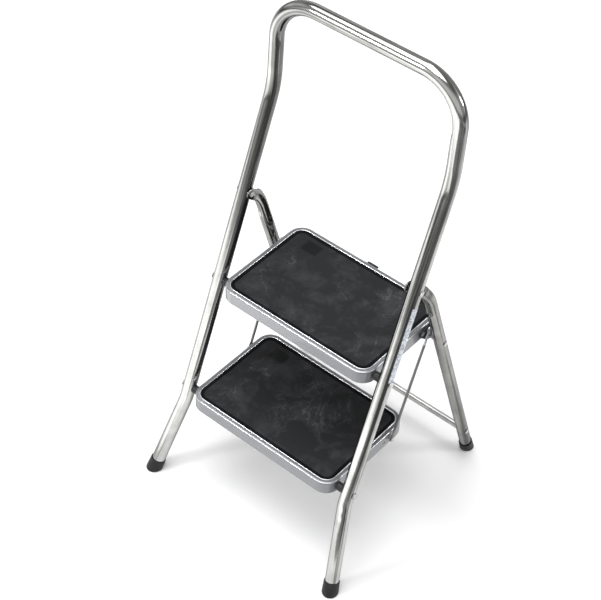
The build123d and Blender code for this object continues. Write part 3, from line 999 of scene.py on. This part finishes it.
def rounded_path(corners: Sequence[Vector], radii: Sequence[float], step: float) -> list[Vector]:
    """A path of straight runs joined by tangent arcs.

    Args:
        corners: Corner points from end to end.
        radii: Arc radius at each inner corner.
        step: Longest distance between two points on an arc.

    Returns:
        Points along the path.
    """
    points = [corners[0]]
    for before, corner, after, radius in zip(corners, corners[1:], corners[2:], radii):
        back = (before - corner).normalized()
        ahead = (after - corner).normalized()
        half = back.angle(ahead) / 2
        reach = radius / math.tan(half)
        centre = corner + (back + ahead).normalized() * (radius / math.sin(half))
        start = corner + back * reach - centre
        turn = math.pi - 2 * half
        axis = back.cross(ahead).normalized()
        count = max(4, math.ceil(radius * turn / step))
        for index in range(count + 1):
            points.append(centre + Matrix.Rotation(-turn * index / count, 3, axis) @ start)
    points.append(corners[-1])
    return points


# ------------------------------------------------------------------ hoop handrail
@dataclass(frozen=True)
class PressMark:
    """A small dent that the bending tool leaves in a tube."""

    place: Vector
    reach: float
    depth: float


@dataclass
class HoopHandrail:
    """The bent front tube with the small dents that bending leaves in it."""

    finishes: Finishes
    tube_radius: float = 12.5 * MM
    lean: float = 21.08
    foot: tuple[float, float] = (0.2124, 0.2142)
    start_z: float = 9.0 * MM
    splay: tuple[float, float] = (0.1845, 0.1634)
    shoulder: tuple[float, float] = (0.1808, 0.7446)
    crown: tuple[float, float] = (0.0814, 0.9145)
    bend_radii: tuple[float, float, float] = (0.090, 0.190, 0.076)
    kink_mark_y: float = -0.163
    ring: int = 64
    step: float = 2.5 * MM

    def corners(self) -> list[Vector]:
        """Corner points of the tube's centreline, from the left foot to the right.

        Returns:
            The eight corners.
        """
        slope = math.tan(math.radians(self.lean))
        kink = Vector((self.splay[0], -self.foot[1] + self.splay[1] * slope, self.splay[1]))
        foot = Vector((self.foot[0], -self.foot[1], 0.0))
        half = [
            foot.lerp(kink, self.start_z / self.splay[1]),
            kink,
            Vector((self.shoulder[0], -self.foot[1] + self.shoulder[1] * slope, self.shoulder[1])),
            Vector((self.shoulder[0], self.crown[0], self.crown[1])),
        ]
        return [Vector((-p.x, p.y, p.z)) for p in half] + half[::-1]

    def marks(self) -> list[PressMark]:
        """Dents on the right-hand side.

        Returns:
            The dent inside the crown bend and the one outside the kink.
        """
        crown_side = self.shoulder[0] - self.tube_radius
        crown_start = self.crown[1] - self.bend_radii[2]
        crown_place = Vector((crown_side, self.crown[0] - 11 * MM, crown_start - 4 * MM))
        kink_place = Vector((self.splay[0] + 9 * MM, self.kink_mark_y, self.splay[1] - 16 * MM))
        return [
            PressMark(crown_place, reach=9 * MM, depth=0.9 * MM),
            PressMark(kink_place, reach=7 * MM, depth=0.35 * MM),
        ]

    def press(self, piece: bpy.types.Object) -> None:
        """Press the dents into both sides of the swept tube.

        Args:
            piece: The swept tube.
        """
        marks = self.marks()
        for vertex in piece.data.vertices:
            side = math.copysign(1.0, vertex.co.x)
            for mark in marks:
                spot = Vector((side * mark.place.x, mark.place.y, mark.place.z))
                away = (vertex.co - spot).length / mark.reach
                if away < 3.0:
                    vertex.co -= vertex.normal * mark.depth * math.exp(-away * away)

    def build(self) -> None:
        """Build the tube in place of its CAD node."""
        corners = self.corners()
        radii = self.bend_radii + self.bend_radii[::-1]
        points = rounded_path(corners, radii, self.step)
        carrier = line_piece("hoop_line", points, closed=False)
        tree = tube_tree(self.tube_radius, self.ring, self.step, self.finishes.made[Slot.TUBE])
        piece = tree.bake(carrier, "hoop_tube")
        self.press(piece)
        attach(piece, "front_frame")
        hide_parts("hoop_handrail")
        LOG.info("built %s", piece.name)


# ------------------------------------------------------------------ rear legs
@dataclass(frozen=True)
class LegLine:
    """A leg's middle line: straight from the pivot, bent at the knee and straight to the foot."""

    pivot: tuple[float, float]
    low: float
    high: float
    to_bend: float
    knee_radius: float

    @property
    def bend_end(self) -> float:
        """Distance from the pivot to the end of the knee bend."""
        return self.to_bend + self.knee_radius * (self.high - self.low)

    def at(self, distance: float) -> tuple[float, float, float]:
        """Place on the line.

        Args:
            distance: Distance from the pivot, below zero beyond it.

        Returns:
            y, z and the lean in radians.
        """
        straight = min(distance, self.to_bend)
        bent = max(min(distance, self.bend_end) - self.to_bend, 0.0)
        further = max(distance - self.bend_end, 0.0)
        lean = self.high - bent / self.knee_radius
        y = self.pivot[0] + straight * math.sin(self.high) + further * math.sin(self.low)
        z = self.pivot[1] - straight * math.cos(self.high) - further * math.cos(self.low)
        y += self.knee_radius * (math.cos(lean) - math.cos(self.high))
        z += self.knee_radius * (math.sin(lean) - math.sin(self.high))
        return y, z, lean


@dataclass
class RearLegs:
    """The two bent rear legs, pressed flat at the top with dimples in the knee."""

    finishes: Finishes
    tube_radius: float = 11.0 * MM
    foot_x: float = 0.1953
    foot_y: float = 0.2142
    top_x: float = 0.1816
    pivot: tuple[float, float] = (0.001661, 0.560)
    start_z: float = 9.0 * MM
    fold_offset: float = 24.2 * MM
    hoop_x: float = 0.181975
    hoop_radius: float = 12.85 * MM
    hoop_lean: float = 21.08
    knee_turn: float = 29.0
    knee_radius: float = 0.115
    tab_inner: float = 0.165175
    tab_thickness: float = 3.8 * MM
    tab_radius: float = 10.0 * MM
    fold: float = 36.5
    ring: int = 72
    step: float = 1.6 * MM
    tip_refinement: int = 4
    tip_least: float = 0.02
    fine_reach: float = 62.0 * MM
    straight_spans: int = 24
    clear_reach: float = 85.0 * MM
    fold_steps: int = 12
    # Share of a hollow's length over which it deepens, and over which it ends
    hollow_lead: float = 0.55
    hollow_tail: float = 0.11
    # Angle and spread in degrees, start and end below the pivot and depth in millimetres
    hollows: tuple[tuple[float, float, float, float, float], ...] = (
        (172.0, 25.0, 10.0, 134.0, 3.6),
        (78.0, 34.0, 14.0, 106.0, 3.6),
        (26.0, 14.0, 20.0, 100.0, 1.3),
    )
    # Distance to the pivot, half thickness, half height, inset of the inner flank from the tab
    sections: tuple[tuple[float, float, float, float], ...] = (
        (0.0, 1.9, 10.0, 0.0),
        (12.0, 1.9, 10.0, 0.0),
        (20.2, 3.6, 11.0, 2.4),
        (28.4, 5.4, 11.6, 4.2),
        (38.8, 7.6, 11.8, 5.2),
        (58.0, 10.2, 11.3, 6.6),
        (78.4, 11.0, 11.0, 6.95),
    )

    def lean(self) -> float:
        """Lean of the straight part of a leg, in radians."""
        run, rise = self.foot_y - self.pivot[0], self.pivot[1]
        return math.atan2(run, rise) - math.asin(self.fold_offset / math.hypot(run, rise))

    def middle_line(self) -> LegLine:
        """The leg's middle line.

        Returns:
            The line.
        """
        low = self.lean()
        high = low + math.radians(self.knee_turn)
        leg_y = self.foot_y - self.pivot[1] * math.tan(low)
        to_knee = (leg_y - self.pivot[0]) / (math.sin(high) - math.tan(low) * math.cos(high))
        to_bend = to_knee - self.knee_radius * math.tan(math.radians(self.knee_turn / 2))
        return LegLine(self.pivot, low, high, to_bend, self.knee_radius)

    def distances(self, line: LegLine) -> list[float]:
        """Distances from the pivot at which the leg has a ring, close together at the tip and the knee.

        Args:
            line: The leg's middle line.

        Returns:
            Distances from the tip of the tab to the foot.
        """
        distances = []
        distance = -self.tab_radius
        while distance <= line.bend_end + self.fine_reach:
            distances.append(distance)
            distance += self.step / self.tip_refinement if distance < 0.0 else self.step
        last_z = line.at(line.bend_end)[1]
        bottom = line.bend_end + (last_z - self.start_z) / math.cos(line.low)
        first = distances[-1]
        spans = self.straight_spans
        return distances + [first + (bottom - first) * index / spans for index in range(1, spans + 1)]

    def section_at(self, distance: float) -> tuple[float, float, float]:
        """Size of the pressed section at a distance from the pivot.

        Args:
            distance: Distance down the middle line, in metres.

        Returns:
            Half thickness, half height and inset of the inner flank, in metres.
        """
        along = min(max(distance / MM, 0.0), self.sections[-1][0])
        spans = zip(self.sections, self.sections[1:])
        lower, upper = next(span for span in spans if along <= span[1][0])
        share = (along - lower[0]) / (upper[0] - lower[0])
        eased = share * share * (3 - 2 * share)
        share = (share + eased) / 2
        half, height, inset = (a + (b - a) * share for a, b in zip(lower[1:], upper[1:]))
        if distance < 0:
            height *= math.sqrt(max(1.0 - (distance / self.tab_radius) ** 2, self.tip_least**2))
        return half * MM, height * MM, inset * MM

    def dimple(self, distance: float, angle: float) -> float:
        """Depth of the pressed dimples at a point of the knee.

        Args:
            distance: Distance from the pivot, in metres.
            angle: Angle round the leg; 0 is away from the middle, a quarter turn is forwards.

        Returns:
            Depth in metres.
        """
        along = distance / MM
        depth = 0.0
        for centre_angle, spread, start, end, deepest in self.hollows:
            if start < along < end:
                rise = (along - start) / (end - start)
                swell = min(rise / self.hollow_lead, 1.0) * min((1 - rise) / self.hollow_tail, 1.0)
                gap = math.remainder(angle - math.radians(centre_angle), math.tau) / math.radians(spread)
                depth += deepest * MM * math.sin(swell * math.pi / 2) * math.exp(-gap**4)
        return depth

    def keep_clear(self, point: Vector, side: float) -> Vector:
        """Push a point out of the space that the hoop takes up as the frame folds.

        Args:
            point: A surface point of the leg.
            side: -1 for the left leg, 1 for the right.

        Returns:
            The point, moved if it has to be.
        """
        for part in range(self.fold_steps + 1):
            swung = math.radians(self.fold * part / self.fold_steps - self.hoop_lean)
            heading = Vector((0.0, -math.sin(swung), math.cos(swung)))
            origin = Vector((side * self.hoop_x, *self.pivot))
            foot = origin + heading * (point - origin).dot(heading)
            away = point - foot
            if away.length < self.hoop_radius:
                across = away.dot(Vector((0.0, heading.z, -heading.y)))
                room = math.sqrt(max(self.hoop_radius**2 - across**2, 0.0))
                point = point.copy()
                point.x = side * (self.hoop_x - room)
        return point

    def centre(self, side: float, distance: float, y: float, z: float) -> Vector:
        """Middle of the section, which moves from the pressed tab to the leg's own line.

        Args:
            side: -1 for the left leg, 1 for the right.
            distance: Distance from the pivot.
            y: Place along the stool.
            z: Height.

        Returns:
            The middle of the section.
        """
        half, _, inset = self.section_at(distance)
        pressed = self.tab_inner + inset + half
        tube_x = self.foot_x + (self.top_x - self.foot_x) / self.pivot[1] * z
        start, end = self.sections[-2][0] * MM, self.sections[-1][0] * MM
        share = min(max((distance - start) / (end - start), 0.0), 1.0)
        return Vector((side * (pressed + (tube_x - pressed) * share), y, z))

    def build_leg(self, side: float, name: str) -> bpy.types.Object:
        """Build one leg's mesh.

        Args:
            side: -1 for the left leg, 1 for the right.
            name: Name of the piece.

        Returns:
            The new piece.
        """
        maker = bmesh.new()
        places = maker.verts.layers.float_vector.new(PATH_ATTRIBUTE)
        line = self.middle_line()
        rings = []
        for distance in self.distances(line):
            y, z, lean = line.at(distance)
            half, height, _ = self.section_at(distance)
            centre = self.centre(side, distance, y, z)
            forward = Vector((0.0, -math.cos(lean), -math.sin(lean)))
            ring = []
            for index in range(self.ring):
                angle = math.tau * index / self.ring
                across, along = math.cos(angle), math.sin(angle)
                reach_x, reach_y = half * across, height * along
                dent = self.dimple(distance, angle)
                shrink = max(1.0 - dent / math.hypot(reach_x, reach_y), 0.1)
                point = centre + Vector((side * reach_x * shrink, 0, 0)) + forward * (reach_y * shrink)
                if distance < self.clear_reach:
                    point = self.keep_clear(point, side)
                vertex = maker.verts.new(point)
                vertex[places] = (self.tube_radius * across, self.tube_radius * along, distance)
                ring.append(vertex)
            rings.append(ring)
        join_rings(maker, rings)
        for face in maker.faces:
            face.smooth = True
        return close_mesh(maker, name)

    def build(self) -> None:
        """Build both legs in place of their CAD nodes."""
        for side, word in ((-1.0, "left"), (1.0, "right")):
            piece = self.build_leg(side, f"pressed_leg_{word}")
            piece.data.materials.append(self.finishes.leg)
            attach(piece, "rear_frame")
            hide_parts(f"rear_leg_{word}")
            LOG.info("built %s", piece.name)


# ------------------------------------------------------------------ steps
def step_outline(low: Vector, high: Vector, inset: float, radius: float) -> list[tuple[float, float]]:
    """Rounded rectangle of a step, moved inwards.

    Args:
        low: Lowest corner of the box that the outline fills.
        high: Highest corner of the box.
        inset: Distance inwards.
        radius: Corner radius before the outline is moved.

    Returns:
        Points anticlockwise, always the same number.
    """
    radius = max(radius - inset, 0.2 * MM)
    left, right = low.x + inset + radius, high.x - inset - radius
    front, back = low.y + inset + radius, high.y - inset - radius
    arcs = []
    for quarter, (x, y) in enumerate(((right, back), (left, back), (left, front), (right, front))):
        angles = [math.pi / 2 * (quarter + index / CORNER_POINTS) for index in range(CORNER_POINTS + 1)]
        arcs.append([(x + radius * math.cos(angle), y + radius * math.sin(angle)) for angle in angles])
    points = []
    for arc, following, run in zip(arcs, arcs[1:] + arcs[:1], SIDE_POINTS):
        points += arc
        (start_x, start_y), (end_x, end_y) = arc[-1], following[0]
        for index in range(1, run):
            share = index / run
            points.append((start_x + (end_x - start_x) * share, start_y + (end_y - start_y) * share))
    return points


@dataclass
class RimBeads:
    """Rounded lips rolled along the inner and outer edges of each step's rim, in a bright finish that paints
    the rim's edge highlights.
    """

    finishes: Finishes
    corner_radius: float = 28.0 * MM
    bead_radius: float = 0.9 * MM
    step_depth: float = 216.4 * MM
    ring: int = 16
    step: float = 2.0 * MM
    # Inset from the outside of the step and depth of the bead's middle below its top
    places: tuple[tuple[str, float, float], ...] = (
        ("inner", 8.3 * MM, 0.40 * MM),
        ("outer", 1.56 * MM, 1.56 * MM),
    )

    def build(self) -> None:
        """Build the beads of both steps."""
        for level in ("upper", "lower"):
            low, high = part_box(f"{level}_tray")
            high.y = low.y + self.step_depth
            for word, inset, drop in self.places:
                outline = step_outline(low, high, inset, self.corner_radius)
                points = [(x, y, high.z - drop) for x, y in outline]
                carrier = line_piece("bead_line", points, closed=True)
                tree = tube_tree(self.bead_radius, self.ring, self.step, self.finishes.bead)
                piece = tree.bake(carrier, f"{level}_rim_{word}_bead")
                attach(piece, f"{level}_step")
                LOG.info("built %s", piece.name)


@dataclass
class StepMats:
    """Rubber mats with a rolled edge, a raised border and a lightly rumpled middle."""

    finishes: Finishes
    corner_radius: float = 18.6 * MM
    ring_step: float = 2.0 * MM
    rumple: float = 0.22 * MM
    patch_size: tuple[float, float] = (31.0 * MM, 24.0 * MM)
    patch_inset: tuple[float, float] = (49.0 * MM, 28.0 * MM)
    patch_depth: float = 0.30 * MM
    patch_edge: float = 1.5 * MM
    patch_tone: float = 0.62
    border_painted_shade: float = 0.30
    middle_gap: float = 1.0 * MM
    # Rumple waves and ridges per metre, and the width of a ridge as a share of one wave
    wave_scale: float = 22.0
    ridge_scale: float = 11.0
    ridge_width: float = 0.05
    ridge_depth: float = 0.8
    # Inset from the edge and height below the top, in millimetres
    edge: tuple[tuple[float, float], ...] = (
        (0.0, 2.2),
        (0.0, 0.75),
        (0.15, 0.35),
        (0.5, 0.08),
        (1.0, 0.0),
        (4.6, 0.0),
        (5.0, 0.10),
        (5.3, 0.42),
        (5.9, 0.42),
        (6.2, 0.12),
        (6.6, 0.04),
    )

    def surface(self, x: float, y: float, low: Vector, high: Vector, seed: float) -> float:
        """Height of the rumpled middle of a mat against its top.

        Args:
            x: Place across the stool.
            y: Place along the stool.
            low: Lowest corner of the mat.
            high: Highest corner of the mat.
            seed: Offset that makes each mat differ.

        Returns:
            Height, zero or below.
        """
        wave = noise.fractal(Vector((x * self.wave_scale, y * self.wave_scale, seed)), 1.0, 2.0, 4)
        place = Vector((x * self.ridge_scale + 3, y * self.ridge_scale, seed + 7))
        ridge = max(0.0, 1.0 - abs(noise.noise(place)) / self.ridge_width)
        height = -self.rumple * (0.5 + 0.5 * wave + self.ridge_depth * ridge)
        height += (-self.patch_depth - height) * self.patch_share(x, y, low, high)
        return min(height, 0.0)

    def patch_share(self, x: float, y: float, low: Vector, high: Vector) -> float:
        """How far a place belongs to the smooth patch near the back left corner.

        Args:
            x: Place across the stool.
            y: Place along the stool.
            low: Lowest corner of the mat.
            high: Highest corner of the mat.

        Returns:
            1 inside the patch, 0 outside, between them on its edge.
        """
        centre_x, centre_y = low.x + self.patch_inset[0], high.y - self.patch_inset[1]
        out = max(abs(x - centre_x) - self.patch_size[0] / 2, abs(y - centre_y) - self.patch_size[1] / 2)
        return min(max(1.0 - out / self.patch_edge, 0.0), 1.0)

    def build_mat(self, level: str, seed: float) -> bpy.types.Object:
        """Build one mat over the place of its CAD node.

        Args:
            level: upper or lower.
            seed: Offset that makes each mat differ.

        Returns:
            The new piece.
        """
        low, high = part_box(f"{level}_mat")
        maker = bmesh.new()
        wear = maker.verts.layers.float_vector.new(PATCH_AND_SHADE_ATTRIBUTE)
        half_depth = (high.y - low.y) / 2
        rows = [(inset * MM, drop * MM) for inset, drop in self.edge]
        inset, middle_drop = rows[-1]
        while inset + self.ring_step < half_depth - self.middle_gap:
            inset += self.ring_step
            rows.append((inset, middle_drop))
        rings = []
        for index, (inset, drop) in enumerate(rows):
            ring = []
            for x, y in step_outline(low, high, inset, self.corner_radius):
                z = high.z - drop
                # Painted shade: the edge rows out to the raised border are darkened for the shade in the gap
                # beside the rim
                tone = self.border_painted_shade
                if index >= len(self.edge) - 1:
                    z += self.surface(x, y, low, high, seed)
                    tone = 1.0 - self.patch_share(x, y, low, high) * (1.0 - self.patch_tone)
                vertex = maker.verts.new((x, y, z))
                vertex[wear] = (tone, tone, tone)
                ring.append(vertex)
            rings.append(ring)
        join_rings(maker, rings)
        for face in maker.faces:
            face.smooth = len(face.verts) == 4
        return close_mesh(maker, f"{level}_rubber_mat")

    def build(self) -> None:
        """Build both mats in place of their CAD nodes."""
        for level, seed in (("upper", 2.0), ("lower", 9.0)):
            piece = self.build_mat(level, seed)
            self.finishes.dress(piece, Slot.MAT)
            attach(piece, f"{level}_step")
            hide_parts(f"{level}_mat")
            LOG.info("built %s", piece.name)


# ------------------------------------------------------------------ rivets
@dataclass
class RivetCrowns:
    """Domed crowns formed on the ends of the axles, rods and rivets."""

    finishes: Finishes
    spread: float = 0.86
    rise: float = 0.9 * MM
    segments: int = 32
    rings: int = 16
    # CAD nodes whose two ends carry a crown, by body
    groups: tuple[tuple[str, tuple[str, ...]], ...] = (
        ("front_frame", ("upper_axle", "lower_axle", "leg_pivot_rivets")),
        ("rear_frame", ("rear_cross_rod", "brace_rivets")),
        ("upper_step", ("upper_tie_pins",)),
        ("lower_step", ("lower_tie_pins",)),
    )

    def grow_tree(self, material: bpy.types.Material) -> GeoTree:
        """Tree that puts a domed crown on every point.

        Args:
            material: Finish of the crowns.

        Returns:
            The tree.
        """
        geo = GeoTree("crown_on_point")
        segments = geo.add_input("Segments", "Int", self.segments)
        rings = geo.add_input("Rings", "Int", self.rings)
        rise = geo.add_input("Rise", "Float", self.rise)
        finish = geo.add_input("Finish", "Material", material)
        ball = geo.node("GeometryNodeMeshUVSphere", Segments=segments, Rings=rings, Radius=1.0)
        position = geo.node("GeometryNodeInputPosition").outputs[0]
        split = geo.node("ShaderNodeSeparateXYZ", Vector=position)
        above = geo.node("ShaderNodeMath", {"operation": "MAXIMUM"}, i0=split.outputs["Z"], i1=0.0)
        flattened = geo.node(
            "ShaderNodeCombineXYZ",
            X=split.outputs["X"],
            Y=split.outputs["Y"],
            Z=above.outputs[0],
        )
        dome = geo.node("GeometryNodeSetPosition", Geometry=ball.outputs[0], Position=flattened.outputs[0])
        facing = geo.node(
            "GeometryNodeInputNamedAttribute",
            {"data_type": "FLOAT_VECTOR"},
            Name=FACING_ATTRIBUTE,
        )
        width = geo.node("GeometryNodeInputNamedAttribute", {"data_type": "FLOAT"}, Name=WIDTH_ATTRIBUTE)
        turned = geo.node("FunctionNodeAlignRotationToVector", {"axis": "Z"}, Vector=facing.outputs[0])
        size = geo.node("ShaderNodeCombineXYZ", X=width.outputs[0], Y=width.outputs[0], Z=rise)
        placed = geo.node(
            "GeometryNodeInstanceOnPoints",
            Points=geo.source,
            Instance=dome.outputs[0],
            Rotation=turned.outputs[0],
            Scale=size.outputs[0],
        )
        geo.finish(placed.outputs[0], finish)
        return geo

    def heads(self, node: str) -> list[tuple[Vector, Vector, float]]:
        """Outer faces of the heads on the two ends of a node.

        Args:
            node: CAD node.

        Returns:
            Centre, facing and radius of each head.
        """
        low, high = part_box(node)
        radius = (high.z - low.z) / 2
        middle = (low + high) / 2
        return [
            (Vector((x, middle.y, middle.z)), Vector((math.copysign(1.0, x), 0, 0)), radius)
            for x in (low.x, high.x)
        ]

    def build(self) -> None:
        """Build the crowns of each body as one piece."""
        for body, nodes in self.groups:
            heads = [head for node in nodes for head in self.heads(node)]
            mesh = bpy.data.meshes.new(f"{body}_crown_points")
            mesh.from_pydata([tuple(place) for place, _, _ in heads], [], [])
            # Adding an attribute moves the others, so each is looked up once both are there
            mesh.attributes.new(FACING_ATTRIBUTE, "FLOAT_VECTOR", "POINT")
            mesh.attributes.new(WIDTH_ATTRIBUTE, "FLOAT", "POINT")
            for index, (_, direction, radius) in enumerate(heads):
                mesh.attributes[FACING_ATTRIBUTE].data[index].vector = direction
                mesh.attributes[WIDTH_ATTRIBUTE].data[index].value = radius * self.spread
            carrier = new_piece(f"{body}_crown_points", mesh)
            piece = self.grow_tree(self.finishes.made[Slot.RIVET]).bake(carrier, f"{body}_rivet_crowns")
            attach(piece, body)
            LOG.info("built %s with %d crowns", piece.name, len(heads))


# ------------------------------------------------------------------ label
@dataclass
class BlankLabel:
    """A plain pale film label wrapped on the outside of the right-hand tube."""

    finishes: Finishes
    tube_radius: float = 12.5 * MM
    lift: float = 0.15 * MM
    seat: float = 0.02 * MM
    low_z: float = 0.402
    high_z: float = 0.534
    facing: float = 3.0
    half_wrap: float = 42.0
    rows: int = 60
    columns: int = 20

    def grid(self, maker: bmesh.types.BMesh, radius: float) -> list[list[bmesh.types.BMVert]]:
        """Points of one surface of the film.

        Args:
            maker: The mesh under construction.
            radius: Distance from the tube's middle line.

        Returns:
            Rows of points from the bottom of the label to its top.
        """
        corners = HoopHandrail(self.finishes).corners()
        start, end = corners[-2], corners[-3]
        along = (end - start).normalized()
        across = Vector((math.cos(math.radians(self.facing)), math.sin(math.radians(self.facing)), 0.0))
        across = (across - along * across.dot(along)).normalized()
        sideways = along.cross(across)
        grid = []
        for row in range(self.rows + 1):
            z = self.low_z + (self.high_z - self.low_z) * row / self.rows
            middle = start + along * ((z - start.z) / along.z)
            line = []
            for column in range(self.columns + 1):
                angle = math.radians(self.half_wrap) * (2 * column / self.columns - 1)
                point = middle + (across * math.cos(angle) + sideways * math.sin(angle)) * radius
                line.append(maker.verts.new(point))
            grid.append(line)
        return grid

    def build(self) -> None:
        """Build the label."""
        maker = bmesh.new()
        outer = self.grid(maker, self.tube_radius + self.lift)
        inner = self.grid(maker, self.tube_radius + self.seat)
        for grid in (outer, inner):
            for lower, upper in zip(grid, grid[1:]):
                for column in range(self.columns):
                    after = column + 1
                    maker.faces.new((lower[column], lower[after], upper[after], upper[column]))
        edges = []
        for grid in (outer, inner):
            left, right = [line[0] for line in grid], [line[-1] for line in grid]
            edges.append((left, right, grid[0], grid[-1]))
        for top, bottom in zip(*edges):
            for index in range(len(top) - 1):
                maker.faces.new((top[index], top[index + 1], bottom[index + 1], bottom[index]))
        piece = close_mesh(maker, "blank_label")
        piece.data.materials.append(LabelFilm().material())
        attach(piece, "front_frame")
        LOG.info("built %s", piece.name)


# ------------------------------------------------------------------ CAD parts
@dataclass
class CarriedParts:
    """CAD parts that are shown as they are, in better finishes."""

    finishes: Finishes

    def dress(self) -> None:
        """Give every CAD node the finish of its slot."""
        slots = {row["node"]: Slot(row["material_slot"]) for row in frame["record"]["subparts"]}
        for name, node in frame["nodes"].items():
            self.finishes.dress(node, slots[name])
            LOG.info("dressed %s in %s", name, slots[name].value)


def main() -> None:
    """Build the stool's looks in order."""
    logging.basicConfig(level=logging.INFO, format="%(name)s: %(message)s")
    bpy.context.scene.view_settings.view_transform = "Standard"
    finishes = Finishes()
    finishes.build()
    Studio().build()
    CarriedParts(finishes).dress()
    HoopHandrail(finishes).build()
    RearLegs(finishes).build()
    RimBeads(finishes).build()
    StepMats(finishes).build()
    RivetCrowns(finishes).build()
    BlankLabel(finishes).build()


if __name__ == "__main__":
    main()
